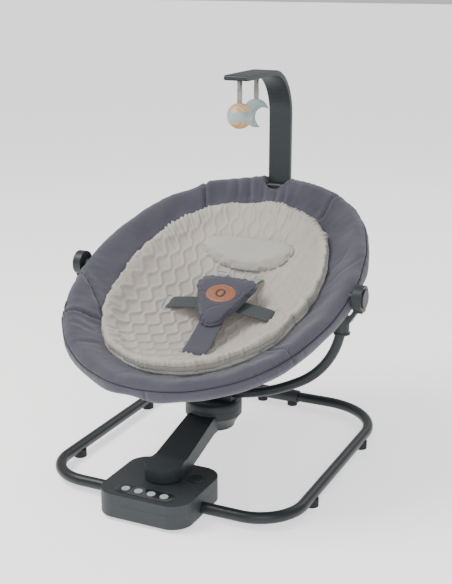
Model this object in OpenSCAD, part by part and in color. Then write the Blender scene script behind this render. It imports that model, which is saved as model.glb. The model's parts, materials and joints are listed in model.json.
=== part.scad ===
/* [Seat hoop] */
// Half width of the oval hoop, to the tube's centreline
hoop_half_w = 308; // [300:1:325]
// Half length of the hoop, to the tube's centreline
hoop_half_l = 374; // [350:1:400]
// Bend radius of the hoop's head and foot ends
hoop_end_r = 290; // [240:1:294]
// Straight length of tube between the hoop's bends
hoop_straight = 12; // [8:1:30]
// Diameter of the hoop's steel tube
hoop_d = 16; // [12:0.5:18]
// Head-up tilt of the hoop at its upright stop, degrees
hoop_tilt = 22.8; // [16:0.1:26]
// Height of the recline axis and of the hoop's centre above the floor
seat_height = 435; // [415:1:520]

/* [Seat cover] */
// Radius of the padded rim around the hoop
rim_r = 22; // [18:0.5:24]
// Depth of the bowl below the hoop's plane
bowl_depth = 135; // [100:1:160]
// Thickness of the bowl's fabric with its lining
bowl_t = 3; // [2:0.5:6]
// Half width of the quilted liner
liner_half_w = 236; // [200:1:250]
// Half length of the quilted liner
liner_half_l = 318; // [280:1:325]
// Thickness of the quilted liner
liner_t = 14; // [8:1:20]
// Half width of the head pillow
pillow_half_w = 120; // [80:1:135]
// Half length of the head pillow
pillow_half_l = 45; // [38:1:60]
// Thickness of the head pillow
pillow_t = 20; // [12:1:26]
// Distance of the head pillow from the hoop's centre, along the seat
pillow_v = 162; // [150:1:220]

/* [Harness] */
// Width of the crotch strap
crotch_web_w = 58; // [38:1:70]
// Width of the waist webbing
waist_web_w = 38; // [25:1:44]
// Width of the shoulder webbing
shoulder_web_w = 25; // [20:1:30]
// Thickness of the webbing
web_t = 2; // [1.5:0.1:2.6]
// Thickness of the crotch pad
pad_t = 14; // [10:1:18]
// Tilt of the crotch pad in the seat, degrees
pad_tilt = 8; // [4:1:12]
// Length of the oval badge on the crotch pad
badge_l = 71; // [50:1:80]
// Width of the oval badge
badge_w = 49; // [35:1:56]

/* [Yoke and recline joints] */
// Diameter of the yoke's steel tube
yoke_d = 22; // [18:0.5:25]
// Radius of the yoke's shallow bottom bend
yoke_bottom_r = 420; // [400:1:460]
// Radius of the yoke's corner bends
yoke_corner_r = 182; // [165:1:195]
// Straight length of tube between the yoke's bends
yoke_straight = 10; // [8:1:30]
// Drop from the recline axis to the yoke's lowest centreline
yoke_drop = 265; // [255:1:290]
// Radius of the round recline housings
recline_r = 28; // [25:1:32]
// Radius of the recline pins
pin_r = 5; // [4:0.25:6]
// Inward travel of the recline buttons
recline_travel = 3; // [2:0.5:4]

/* [Hub and swing arm] */
// Radius of the swivel hub
hub_r = 65; // [60:1:75]
// Radius of the swivel shaft
swivel_r = 12; // [9:0.5:14]
// Width of the swing arm where it leaves the hub
arm_w = 65; // [55:1:72]
// Reach of the swing arm from its pivot to the swivel shaft
arm_reach = 240; // [225:1:260]
// Radius of the swing arm's pivot shaft
arm_shaft_r = 10; // [8:0.5:12]
// Radius of the swing arm's boss over the pivot
arm_boss_r = 42; // [38:1:48]

/* [Drive housing and base] */
// Half length of the base, front to back
base_half_l = 380; // [375:1:420]
// Half width of the base loop, to the tube's centreline
base_half_w = 290; // [250:1:330]
// Diameter of the base tube
base_d = 25; // [20:1:28]
// Half width of the drive housing
house_half_w = 105; // [100:1:125]
// Length of the drive housing, front to back
house_l = 198; // [190:1:205]
// Height of the drive housing's top above the floor
house_top = 60; // [60:1:66]
// Wall of the drive housing
house_wall = 3; // [2.5:0.5:4]
// Corner radius of the drive housing
house_corner_r = 45; // [36:1:60]
// Radius of the control buttons
button_r = 9; // [7:0.5:11]
// Spacing of the control buttons
button_pitch = 30; // [25:1:34]
// Travel of the control buttons
button_travel = 1; // [0.5:0.1:1.1]

/* [Gears] */
// Tooth module of the sector gear and its pinion
gear_module = 1.5; // [1:0.1:1.6]
// Teeth of a full gear of the sector's size
sector_teeth = 90; // [90:18:90]
// Teeth of the pinion
pinion_teeth = 18; // [18:18:18]
// Backlash between the teeth
backlash = 0.2; // [0.1:0.05:0.3]

/* [Toy bar] */
// Width of the flat toy bar
toy_bar_w = 56; // [42:1:60]
// Thickness of the toy bar
toy_bar_t = 12; // [12:1:16]
// Height of the toy bar's top above the recline axis
toy_bar_h = 430; // [400:1:460]
// Bend radius of the toy bar
toy_bar_r = 110; // [90:1:140]
// Forward reach of the toy bar past its bend
toy_bar_reach = 150; // [140:1:190]
// Radius of the ball toy
ball_r = 29; // [22:1:34]
// Radius of the moon toy
moon_r = 33; // [26:1:36]

/* [Hidden] */
$fn = 96;

// Clearances
run = 0.04;
fit = 0.05;
soft_gap = 0.4;
liner_lift = 1.3;
slip = 0.3;

// Hoop outline of four arcs with short straights between them
arc_dx = hoop_half_w - hoop_end_r;
arc_dy = hoop_half_l - hoop_end_r;
side_r = hoop_end_r + (pow(arc_dx, 2) + pow(arc_dy, 2) - pow(hoop_straight, 2)) / (2 * arc_dx);
side_span = atan2(arc_dy, side_r - hoop_half_w) - atan2(hoop_straight, side_r - hoop_end_r);
outline_n = 2.17;
bowl_half_w = hoop_half_w - rim_r - soft_gap;
bowl_half_l = hoop_half_l - rim_r - soft_gap;
foot_bias = 0.3;

// Recline axis, also in the seat's tilted frame
axis_y = -20;
axis_v = axis_y * cos(hoop_tilt);
axis_w = -axis_y * sin(hoop_tilt);
house_x = hoop_half_w + rim_r + 1.5;
bracket_x = house_x - 2;
button_floor_x = house_x + 9;
house_end_x = house_x + 20;
recess_r = recline_r - 7;
housing_bottom = 30;

// Thickness of the sleeves that join the hoop's bends
sleeve_t = 0.8;

// Yoke centreline
yoke_half_w = hoop_half_w - 4;
yoke_low = seat_height - yoke_drop;
yoke_dr = yoke_bottom_r - yoke_corner_r;
yoke_bend = asin((yoke_half_w - yoke_corner_r) / norm([yoke_dr, yoke_straight]))
    - atan2(yoke_straight, yoke_dr);
yoke_corner_z = yoke_low + yoke_bottom_r - yoke_dr * cos(yoke_bend) + yoke_straight * sin(yoke_bend);
socket_low = seat_height - 84;
socket_top = seat_height - 58;
socket_r = yoke_d / 2 + 5;
yoke_end = asin((yoke_corner_z - socket_top + 1) / yoke_corner_r);

// Hub and swing arm
hub_y = axis_y;
seam_z = yoke_low - yoke_d / 2 - 22;
cap_h = 20;
swivel_bearing_r = swivel_r + 7;
pivot_y = hub_y - arm_reach;
arm_top_hub = seam_z - 6;
arm_low_hub = seam_z - 44;
arm_low_pivot = house_top + 2;
arm_top_pivot = house_top + 34;

// Drive housing and base
house_y = pivot_y - house_l / 2 + 78;
tray_low = 8;
seam_house = 38;
floor_z = tray_low + house_wall;
roof_z = house_top - house_wall;
post_x = house_half_w - 17;
post_dy = house_l / 2 - 34;
base_z = floor_z + base_d / 2 + 1;
base_front_y = house_y - 9;
joint_r = base_d / 2 + 4;
base_rear_y = base_half_l - joint_r;
base_front_bend = 100;
base_rear_bend = 150;
bearing_w = 7;
panel_y = house_y - 65;
panel_t = 1;
board_top = roof_z - 5;

// Gears
sector_pitch_r = gear_module * sector_teeth / 2;
pinion_pitch_r = gear_module * pinion_teeth / 2;
pinion_y = pivot_y - sector_pitch_r - pinion_pitch_r;
gear_z = floor_z + 10;
gear_t = 7;
motor_r = 17;
motor_low = gear_z + gear_t + 2;
motor_top = board_top - 4;

// Toy bar
hoop_head_y = hoop_half_l * cos(hoop_tilt);
hoop_head_z = seat_height + hoop_half_l * sin(hoop_tilt);
bar_y = hoop_head_y + (hoop_d + toy_bar_t) / 2 + 0.6;
bar_socket_top = hoop_head_z + 1;
bar_low = bar_socket_top + slip;
socket_y = [hoop_head_y - hoop_d / 2 - 3.5, bar_y + toy_bar_t / 2 + 2];
socket_h = 20;
neck_half_w = 18;
neck_y = [bar_y - 3, bar_y + 3];
neck_low = bar_socket_top - socket_h + 5;
bar_top = seat_height + toy_bar_h;
toy_ys = [bar_y - toy_bar_r - 40, bar_y - toy_bar_r - toy_bar_reach + 18];
clip_drop = 6;
ribbon_l = 30;

steel = "#3c4244";
plastic = "#363c3e";
slate = "#5b5c68";
grey_liner = "#b8b1a8";
metal = "silver";

// Shared shapes

module in_seat() {
    translate([0, 0, seat_height]) rotate([hoop_tilt, 0, 0]) children();
}

module on_both_sides() {
    children();
    mirror([1, 0, 0]) children();
}

module ring(r_out, r_in, h) {
    difference() {
        cylinder(r = r_out, h = h);
        translate([0, 0, -1]) cylinder(r = r_in, h = h + 2);
    }
}

module block(x, y, z) {
    translate([x[0], y[0], z[0]]) cube([x[1] - x[0], y[1] - y[0], z[1] - z[0]]);
}

module rounded_plate(w, l, r) {
    square([w - 2 * r, l], center = true);
    square([w, l - 2 * r], center = true);
    for (x = [-1, 1], y = [-1, 1])
        translate([x * (w / 2 - r), y * (l / 2 - r)]) circle(r);
}

// Torus segment in the XY plane, from angle a over span degrees
module bend(r, tube_r, a, span) {
    rotate([0, 0, a]) rotate_extrude(angle = span) translate([r, 0]) circle(tube_r);
}

module side_bend(tube_r) {
    translate([hoop_half_w - side_r, 0, 0]) bend(side_r, tube_r, -side_span, 2 * side_span);
}

module head_bend(tube_r) {
    translate([0, hoop_half_l - hoop_end_r, 0])
        bend(hoop_end_r, tube_r, side_span, 180 - 2 * side_span);
}

// Sleeve over the short straight between a side bend and an end bend
module hoop_sleeve() {
    translate([hoop_half_w - side_r, 0, 0]) rotate([0, 0, side_span])
        translate([side_r, -6, 0]) rotate([-90, 0, 0])
            cylinder(r = hoop_d / 2 + sleeve_t, h = hoop_straight + 12);
}

// Solid swept along points in the XY plane; the profile's x runs outwards and its y along Z
module sweep(points, profile) {
    n = len(points);
    m = len(profile);
    rings = [for (i = [0:n - 1])
        let (along = points[min(i + 1, n - 1)] - points[max(i - 1, 0)],
            out = [along.y, -along.x] / norm(along))
        each [for (q = profile) [points[i].x + out.x * q.x, points[i].y + out.y * q.x, q.y]]];
    polyhedron(points = rings, faces = concat(
        [[for (k = [0:m - 1]) k], [for (k = [m - 1:-1:0]) (n - 1) * m + k]],
        [for (i = [0:n - 2], k = [0:m - 1]) let (j = (k + 1) % m)
            [i * m + k, (i + 1) * m + k, (i + 1) * m + j, i * m + j]]));
}

// Point of the hoop's outline where its normal stands at angle a, moved inwards by inset
function oval_point(a, inset) =
    let (c = cos(a), s = sin(a))
    abs(s) < sin(side_span)
        ? [sign(c) * (hoop_half_w - side_r) + (side_r - inset) * c, (side_r - inset) * s]
        : [(hoop_end_r - inset) * c, sign(s) * (hoop_half_l - hoop_end_r) + (hoop_end_r - inset) * s];

function sgn_pow(x, p) = sign(x) * pow(abs(x), p);

// Point of a superellipse with half sides a and b
function soft_point(angle, a, b) =
    [a * sgn_pow(cos(angle), 2 / outline_n), b * sgn_pow(sin(angle), 2 / outline_n)];

// Height of the bowl's upper face over a point of the hoop's plane
function bowl_height(u, v) =
    let (q = pow(pow(abs(u) / bowl_half_w, outline_n) + pow(abs(v) / bowl_half_l, outline_n),
        2 / outline_n))
    -bowl_depth * pow(max(0, 1 - q), 1.6) * (1 - foot_bias * v / bowl_half_l);

// Shell that follows the bowl inside an outline, from low to high above its upper face
module bowl_shell(outline, center, low, high, rings) {
    n = len(outline);
    plan = [for (k = [1:rings], p = outline) center + p * k / rings];
    top = [for (p = plan) [p.x, p.y, bowl_height(p.x, p.y) + high]];
    under = [for (p = plan) [p.x, p.y, bowl_height(p.x, p.y) + low]];
    mid = bowl_height(center.x, center.y);
    count = n * rings;
    top_pole = 2 * count;
    under_pole = top_pole + 1;
    polyhedron(
        points = concat(top, under, [[center.x, center.y, mid + high], [center.x, center.y, mid + low]]),
        faces = concat(
            [for (i = [0:n - 1]) [top_pole, (i + 1) % n, i]],
            [for (i = [0:n - 1]) [under_pole, count + i, count + (i + 1) % n]],
            [for (k = [0:rings - 2], i = [0:n - 1]) let (j = (i + 1) % n)
                each [[k * n + i, k * n + j, (k + 1) * n + j],
                    [k * n + i, (k + 1) * n + j, (k + 1) * n + i]]],
            [for (k = [0:rings - 2], i = [0:n - 1]) let (j = (i + 1) % n, c = count)
                each [[c + k * n + i, c + (k + 1) * n + j, c + k * n + j],
                    [c + k * n + i, c + (k + 1) * n + i, c + (k + 1) * n + j]]],
            [for (i = [0:n - 1]) let (j = (i + 1) % n, o = (rings - 1) * n, c = count + o)
                each [[o + i, o + j, c + j], [o + i, c + j, c + i]]]));
}

// Flat strap through points, its width along the direction across
module strap(points, across, w, t) {
    n = len(points);
    along = [for (i = [0:n - 1]) points[min(i + 1, n - 1)] - points[max(i - 1, 0)]];
    corners = [for (i = [0:n - 1]) let (up = cross(along[i], across), lift = up / norm(up) * t / 2)
        each [for (c = [[-1, -1], [1, -1], [1, 1], [-1, 1]])
            points[i] + across * c[0] * w / 2 + lift * c[1]]];
    polyhedron(points = corners, faces = concat(
        [[3, 2, 1, 0], [for (c = [0:3]) (n - 1) * 4 + c]],
        [for (i = [0:n - 2], c = [0:3]) let (d = (c + 1) % 4)
            [i * 4 + c, i * 4 + d, i * 4 + 4 + d, i * 4 + 4 + c]]));
}

// Base

module base_tube_path() {
    side_l = base_rear_y - base_rear_bend - base_front_y - base_front_bend;
    translate([0, 0, base_z]) {
        translate([house_half_w - 30, base_front_y, 0]) rotate([0, 90, 0])
            cylinder(d = base_d, h = base_half_w - base_front_bend - house_half_w + 30);
        translate([base_half_w - base_front_bend, base_front_y + base_front_bend, 0])
            bend(base_front_bend, base_d / 2, -90, 90);
        translate([base_half_w, base_front_y + base_front_bend, 0]) rotate([-90, 0, 0])
            cylinder(d = base_d, h = side_l);
        translate([base_half_w - base_rear_bend, base_rear_y - base_rear_bend, 0])
            bend(base_rear_bend, base_d / 2, 0, 90);
        translate([3, base_rear_y, 0]) rotate([0, 90, 0])
            cylinder(d = base_d, h = base_half_w - base_rear_bend - 3);
    }
}

module base_tube_left() { color(steel) mirror([1, 0, 0]) base_tube_path(); }
module base_tube_right() { color(steel) base_tube_path(); }

module base_rear_joint() {
    color(plastic) translate([-60, base_rear_y, base_z]) rotate([0, 90, 0])
        ring(joint_r, base_d / 2 + fit, 120);
}

module base_feet() {
    pad_h = 9;
    color("#202224") {
        for (x = [-42, 42]) difference() {
            translate([x, base_rear_y, 0]) cylinder(r = 13, h = base_z - joint_r + pad_h - 2);
            translate([-61, base_rear_y, base_z]) rotate([0, 90, 0]) cylinder(r = joint_r + fit, h = 122);
        }
        for (x = [-1, 1], y = [base_front_y + 150, base_rear_y - 180]) difference() {
            translate([x * base_half_w, y, 0]) cylinder(r = 15, h = base_z - base_d / 2 + pad_h - 3);
            translate([x * base_half_w, y - 20, base_z]) rotate([-90, 0, 0])
                cylinder(r = base_d / 2 + fit, h = 40);
        }
        for (x = [-1, 1], y = [-1, 1])
            translate([x * (post_x - 22), house_y + y * post_dy, 0]) cylinder(r = 13, h = tray_low);
    }
}

module house_plan(inset) {
    translate([0, house_y])
        rounded_plate(2 * (house_half_w - inset), house_l - 2 * inset, house_corner_r - inset);
}

module screw_places() {
    for (x = [-1, 1], y = [-1, 1]) translate([x * post_x, house_y + y * post_dy, 0]) children();
}

module drive_housing_tray() {
    color(plastic) difference() {
        union() {
            difference() {
                translate([0, 0, tray_low]) linear_extrude(seam_house - tray_low) house_plan(0);
                translate([0, 0, floor_z]) linear_extrude(seam_house) house_plan(house_wall);
            }
            translate([0, pivot_y, floor_z - 1]) cylinder(r = arm_shaft_r + 11, h = bearing_w + 2);
            screw_places() translate([0, 0, floor_z - 1]) cylinder(r = 5.5, h = seam_house - floor_z + 1);
            for (x = [-1, 1]) translate([x * (house_half_w - 2), base_front_y, base_z])
                rotate([0, -90 * x, 0]) cylinder(r = base_d / 2 + 3.2, h = 26);
        }
        translate([0, pivot_y, floor_z]) cylinder(r = arm_shaft_r + 7 + run, h = 60);
        screw_places() {
            translate([0, 0, tray_low - 1]) cylinder(r = 3.6, h = 5);
            cylinder(r = 1.75, h = 60);
        }
        for (x = [-1, 1]) translate([x * (house_half_w - 31), base_front_y, base_z])
            rotate([0, 90 * x, 0]) cylinder(r = base_d / 2 + fit, h = 40);
        block([-house_half_w, house_half_w], [house_y - house_l, house_y + house_l], [seam_house, house_top]);
    }
}

module button_places() {
    for (i = [-1.5:1:1.5]) translate([i * button_pitch, panel_y, 0]) children();
}

module drive_housing_cover() {
    seam = seam_house + 0.2;
    color(plastic) difference() {
        union() {
            difference() {
                translate([0, 0, seam]) linear_extrude(house_top - seam) house_plan(0);
                translate([0, 0, seam - 1]) linear_extrude(roof_z - seam + 1) house_plan(house_wall);
            }
            translate([0, pivot_y, roof_z - bearing_w - 2]) cylinder(r = arm_shaft_r + 11, h = bearing_w + 3);
            screw_places() translate([0, 0, seam]) cylinder(r = 5.5, h = roof_z - seam + 1);
            for (x = [-1, 1], y = [-1, 1]) translate([x * 52, panel_y + y * 16, board_top])
                cylinder(r = 3, h = roof_z - board_top + 1);
        }
        translate([0, pivot_y, 0]) {
            cylinder(r = arm_shaft_r + 7 + run, h = roof_z - 2);
            cylinder(r = arm_shaft_r + 2, h = 80);
        }
        screw_places() cylinder(r = 1.75, h = seam + 12);
        button_places() cylinder(r = button_r + slip, h = 80);
        dc_inlet_place() cylinder(r = 6 + fit, h = 20);
        speaker_place() for (a = [0:60:300]) rotate([0, 0, a]) translate([9, 0, 0])
            cylinder(r = 3, h = 80);
    }
}

module housing_screws() {
    color(metal) screw_places() {
        translate([0, 0, tray_low + 1]) cylinder(r = 3.3, h = 2.9);
        translate([0, 0, tray_low + 2]) cylinder(r = 1.7, h = seam_house - tray_low + 8);
    }
}

module control_panel() {
    color("#1d2022") translate([0, 0, house_top]) difference() {
        linear_extrude(panel_t) translate([0, panel_y])
            rounded_plate(3 * button_pitch + 46, 36, 17.9);
        translate([0, 0, -house_top]) button_places() cylinder(r = button_r + slip, h = 80);
    }
}

module control_button(i) {
    low = board_top + button_travel + 0.2;
    color("#c9cdcc") translate([(i - 1.5) * button_pitch, panel_y, low])
        cylinder(r = button_r, h = house_top + panel_t + 2 - low);
}

module power_button() { control_button(0); }
module speed_button() { control_button(1); }
module timer_button() { control_button(2); }
module sound_button() { control_button(3); }

module circuit_board() {
    color("#1f6b45") block([-60, 60], [panel_y - 21, panel_y + 21], [board_top - 1.6, board_top]);
}

module speaker_place() { translate([house_half_w - 37, house_y + 38, 0]) children(); }

module speaker() {
    color("#2a2a2c") speaker_place() {
        translate([0, 0, roof_z - 5]) cylinder(r = 18, h = 5);
        translate([0, 0, roof_z - 13]) cylinder(r = 10, h = 9);
    }
}

module speaker_grille() {
    color("#1d2022") speaker_place() translate([0, 0, house_top]) difference() {
        cylinder(r = 19, h = 1.2);
        for (r = [5, 10, 15], k = [1:r * 1.2]) rotate([0, 0, k * 360 / floor(r * 1.2)])
            translate([r, 0, -1]) cylinder(r = 1.2, h = 4, $fn = 16);
    }
}

module drive_motor() {
    color(metal) translate([0, pinion_y, 0]) difference() {
        translate([0, 0, motor_low]) cylinder(r = motor_r, h = motor_top - motor_low);
        translate([0, 0, motor_low - 1]) cylinder(r = 2 + fit, h = 9);
    }
}

module motor_bracket() {
    plate_low = motor_low - 1.5;
    color("#8f9496") {
        difference() {
            block([-30, 30], [pinion_y - 20, pinion_y + 16], [plate_low, motor_low]);
            translate([0, pinion_y, 0]) cylinder(r = 8, h = 60);
        }
        for (x = [-25, 25]) translate([x, pinion_y - 12, floor_z]) cylinder(r = 4, h = plate_low - floor_z);
    }
}

module bearing_at(y, z, shaft_r) {
    color(metal) translate([0, y, z]) ring(shaft_r + 7, shaft_r + run, bearing_w);
}

module pivot_bearing_lower() { bearing_at(pivot_y, floor_z, arm_shaft_r); }
module pivot_bearing_upper() { bearing_at(pivot_y, roof_z - bearing_w - 2, arm_shaft_r); }

module dc_inlet_place() {
    translate([-0.55 * house_half_w, house_y + house_l / 2 - 12, roof_z - 10]) rotate([-90, 0, 0]) children();
}

module dc_inlet() {
    color("#141516") dc_inlet_place() difference() {
        cylinder(r = 6, h = 12);
        translate([0, 0, 2]) cylinder(r = 2.8, h = 20);
    }
}

// Gears: an involute tooth, its centreline along +X

function inv(a) = tan(a) - a * PI / 180;

function flank_angle(r, teeth) =
    let (pitch_r = gear_module * teeth / 2, base_r = pitch_r * cos(20), at = max(r, base_r))
    90 / teeth + (inv(20) - inv(acos(base_r / at)) - backlash / (2 * pitch_r)) * 180 / PI;

module tooth(teeth) {
    pitch_r = gear_module * teeth / 2;
    root = pitch_r - 1.25 * gear_module;
    tip = pitch_r + gear_module * 0.95;
    radii = [for (i = [0:7]) root - 0.3 + (tip - root + 0.3) * i / 7];
    flank = [for (r = radii) let (a = flank_angle(r, teeth)) [r * cos(a), r * sin(a)]];
    polygon(concat(flank, [for (i = [7:-1:0]) [flank[i].x, -flank[i].y]]));
}

module motor_pinion() {
    color("#e8e4d8") translate([0, pinion_y, gear_z]) difference() {
        union() {
            cylinder(r = pinion_pitch_r - 1.25 * gear_module, h = gear_t);
            for (k = [0:pinion_teeth - 1]) rotate([0, 0, 90 + (k + 0.5) * 360 / pinion_teeth])
                linear_extrude(gear_t) tooth(pinion_teeth);
        }
        translate([0, 0, -1]) cylinder(r = 2 + run, h = gear_t + 2);
    }
}

module motor_shaft() {
    color(metal) translate([0, pinion_y, gear_z - 1]) cylinder(r = 2, h = motor_low - gear_z + 6);
}

module sector_gear() {
    half = 26;
    step = 360 / sector_teeth;
    root = sector_pitch_r - 1.25 * gear_module;
    color("#e8e4d8") translate([0, pivot_y, gear_z]) difference() {
        union() {
            cylinder(r = arm_shaft_r + 9, h = gear_t);
            intersection() {
                cylinder(r = root, h = gear_t);
                linear_extrude(gear_t)
                    polygon([[0, 0], [-1.2 * root * tan(half), -1.2 * root],
                        [1.2 * root * tan(half), -1.2 * root]]);
            }
            for (k = [-5:5]) rotate([0, 0, -90 + k * step]) linear_extrude(gear_t) tooth(sector_teeth);
        }
        translate([0, 0, -1]) cylinder(r = arm_shaft_r + run, h = gear_t + 2);
    }
}

// Swing arm

module arm_shaft() {
    color(metal) translate([0, pivot_y, floor_z + 0.5])
        cylinder(r = arm_shaft_r, h = arm_top_pivot - 6 - floor_z);
}

module arm_plan(inset) {
    half = arm_w / 2 - inset;
    polygon([[-half, hub_y - hub_r + 18], [half, hub_y - hub_r + 18],
        [arm_boss_r - 3 - inset, pivot_y], [-arm_boss_r + 3 + inset, pivot_y]]);
    translate([0, pivot_y]) circle(arm_boss_r - inset);
}

module arm_side(low, high) {
    front = pivot_y - arm_boss_r;
    knee = pivot_y + arm_boss_r + 4;
    root_y = hub_y - hub_r;
    rotate([90, 0, 90]) translate([0, 0, -60]) linear_extrude(120)
        polygon([[root_y + 18, arm_low_hub + low], [root_y, arm_low_hub + low],
            [knee, arm_low_pivot + low], [front - 1, arm_low_pivot + low],
            [front - 1, arm_top_pivot + high], [knee - 12, arm_top_pivot + high],
            [root_y - 4, arm_top_hub + high], [root_y + 18, arm_top_hub + high]]);
}

module hub_turned(points) {
    translate([0, hub_y, seam_z]) rotate_extrude() polygon(points);
}

module swing_arm() {
    r = hub_r;
    b = swivel_bearing_r + run;
    color(plastic) difference() {
        union() {
            hub_turned([[0, -47], [r - 17, -47], [r - 15, -38], [r - 3, -20], [r, -17], [r, 0], [0, 0]]);
            intersection() {
                translate([0, 0, tray_low]) linear_extrude(seam_z) arm_plan(0);
                arm_side(0, 0);
            }
        }
        hub_turned([[0, 1], [r - 4, 1], [r - 4, -16], [r - 7, -19], [r - 18, -37], [b + 5, -37],
            [b + 5, -18], [b, -18], [b, -41], [r - 20, -41], [r - 20, -48], [0, -48]]);
        intersection() {
            translate([0, 0, tray_low]) linear_extrude(seam_z) arm_plan(4);
            arm_side(-1, -4);
            block([-50, 50], [pivot_y + arm_shaft_r + 10, hub_y - hub_r - 3], [0, seam_z]);
        }
        translate([0, pivot_y, 0]) cylinder(r = arm_shaft_r + run, h = arm_top_pivot - 5);
    }
}

module arm_bottom_cover() {
    color(plastic) intersection() {
        translate([0, 0, tray_low]) linear_extrude(seam_z) arm_plan(4 + fit);
        difference() {
            arm_side(0.2, -4.5);
            arm_side(3, 0);
        }
        block([-50, 50], [pivot_y + arm_shaft_r + 10 + fit, hub_y - hub_r - 3 - fit], [0, seam_z]);
    }
}

module swivel_bearing() { bearing_at(hub_y, seam_z - 28, swivel_r); }

module hub_bottom_cap() {
    color(plastic) translate([0, hub_y, seam_z - 47]) cylinder(r = hub_r - 20 - fit, h = 3);
}

// Yoke

module yoke_plane() {
    translate([0, axis_y, 0]) rotate([90, 0, 0]) children();
}

module yoke_bottom_bend(tube_r) {
    yoke_plane() translate([0, yoke_low + yoke_bottom_r, 0])
        bend(yoke_bottom_r, tube_r, -90 - yoke_bend, 2 * yoke_bend);
}

// Channel for the yoke's right end, a little longer than the tube
module yoke_corner(tube_r) {
    yoke_plane() translate([yoke_half_w - yoke_corner_r, yoke_corner_z, 0])
        bend(yoke_corner_r, tube_r, yoke_bend - 90, 91.2 - yoke_bend - yoke_end);
}

module yoke_tube() {
    corner = [for (k = [20:-1:0]) let (a = -yoke_end - (90 - yoke_bend - yoke_end) * (1 - k / 20))
        [yoke_half_w - yoke_corner_r + yoke_corner_r * cos(a), yoke_corner_z + yoke_corner_r * sin(a)]];
    bottom = [for (k = [10:-1:-10]) let (a = -90 + yoke_bend * k / 10)
        [yoke_bottom_r * cos(a), yoke_low + yoke_bottom_r + yoke_bottom_r * sin(a)]];
    path = concat(corner, bottom, [for (k = [20:-1:0]) [-corner[k].x, corner[k].y]]);
    color(steel) yoke_plane()
        sweep(path, [for (k = [0:15]) (yoke_d / 2 - 0.1) * [cos(k * 22.5), sin(k * 22.5)]]);
}

module hub_cap() {
    r = hub_r;
    color(plastic) difference() {
        union() {
            hub_turned([[0, 0.4], [r, 0.4], [r, cap_h - 6], [r - 3, cap_h - 2], [r - 8, cap_h], [0, cap_h]]);
            block([-hub_r + 13, hub_r - 13], [hub_y - yoke_d / 2 - 6, hub_y + yoke_d / 2 + 6],
                [seam_z + cap_h - 2, yoke_low + yoke_d / 2 - 4]);
        }
        hub_turned([[swivel_r + 9, 0], [r - 4, 0], [r - 4, cap_h - 7], [swivel_r + 9, cap_h - 7]]);
        translate([0, hub_y, seam_z - 1]) cylinder(r = swivel_r + run, h = cap_h - 3);
        yoke_bottom_bend(yoke_d / 2 + fit);
    }
}

module swivel_shaft() {
    color(metal) translate([0, hub_y, seam_z - 34]) difference() {
        cylinder(r = swivel_r, h = 34 + cap_h - 5);
        translate([0, 0, 2]) ring(swivel_r + 1, swivel_r - 1, 2.2);
    }
}

module shaft_clip() {
    color(metal) translate([0, hub_y, seam_z - 31.9]) ring(swivel_r + 3, swivel_r - 1 + fit, 2);
}

module side_socket() {
    difference() {
        translate([yoke_half_w, axis_y, socket_low]) {
            cylinder(r = socket_r, h = socket_top - socket_low);
            cylinder(r = socket_r + 2, h = 4);
        }
        yoke_corner(yoke_d / 2 + fit);
    }
}

module side_socket_left() { color(plastic) mirror([1, 0, 0]) side_socket(); }
module side_socket_right() { color(plastic) side_socket(); }

module recline_disc(r, from, to) {
    translate([from, axis_y, seat_height]) rotate([0, 90, 0]) cylinder(r = r, h = to - from);
}

module recline_housing() {
    neck_low = socket_top - seat_height + 0.1;
    neck_top = neck_low + 13;
    difference() {
        union() {
            recline_disc(recline_r, house_x, house_end_x);
            translate([yoke_half_w, axis_y, seat_height + neck_low]) cylinder(r = socket_r, h = 13);
            translate([0, axis_y + 13, seat_height]) rotate([90, 0, 0]) linear_extrude(26)
                polygon([[yoke_half_w - 10, neck_top], [yoke_half_w - 10, neck_low],
                    [yoke_half_w + 18, neck_low],
                    [house_x + 8, -housing_bottom], [house_end_x, -housing_bottom], [house_end_x, -10],
                    [house_x, -10], [house_x, 4 - housing_bottom], [yoke_half_w + 15, neck_top]]);
        }
        recline_disc(recess_r, button_floor_x, house_end_x + 5);
        recline_disc(pin_r + run, house_x - 5, house_end_x);
    }
}

module recline_housing_left() { color(plastic) mirror([1, 0, 0]) recline_housing(); }
module recline_housing_right() { color(plastic) recline_housing(); }

module recline_pins() {
    color(metal) on_both_sides() recline_disc(pin_r, bracket_x - 7.5, button_floor_x);
}

module button_washers() {
    color(metal) on_both_sides() difference() {
        recline_disc(12, button_floor_x, button_floor_x + 1.6);
        recline_disc(8, button_floor_x - 1, button_floor_x + 3);
    }
}

module recline_button() {
    low = button_floor_x + 1.8 + recline_travel;
    recline_disc(recess_r - slip, low, house_end_x + 3.5);
}

module recline_button_left() { color(plastic) mirror([1, 0, 0]) recline_button(); }
module recline_button_right() { color(plastic) recline_button(); }

// Seat

module seat_hoop() {
    color(steel) in_seat() for (turn = [0, 180]) rotate([0, 0, turn]) {
        side_bend(hoop_d / 2);
        head_bend(hoop_d / 2);
        hoop_sleeve();
        mirror([0, 1, 0]) hoop_sleeve();
    }
}

module bracket_block() {
    x = hoop_half_w;
    block([x - 13, x + 10], [axis_v - 20, axis_v + 20], [-11, 11]);
    translate([x + 9, axis_v, axis_w]) rotate([0, 90, 0]) cylinder(r = pin_r + 6, h = bracket_x - x - 9);
}

module hoop_brackets() {
    color(plastic) in_seat() on_both_sides() difference() {
        bracket_block();
        side_bend(hoop_d / 2 + fit);
        translate([bracket_x - 8, axis_v, axis_w]) rotate([0, 90, 0]) cylinder(r = pin_r + run, h = 20);
    }
}

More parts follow.
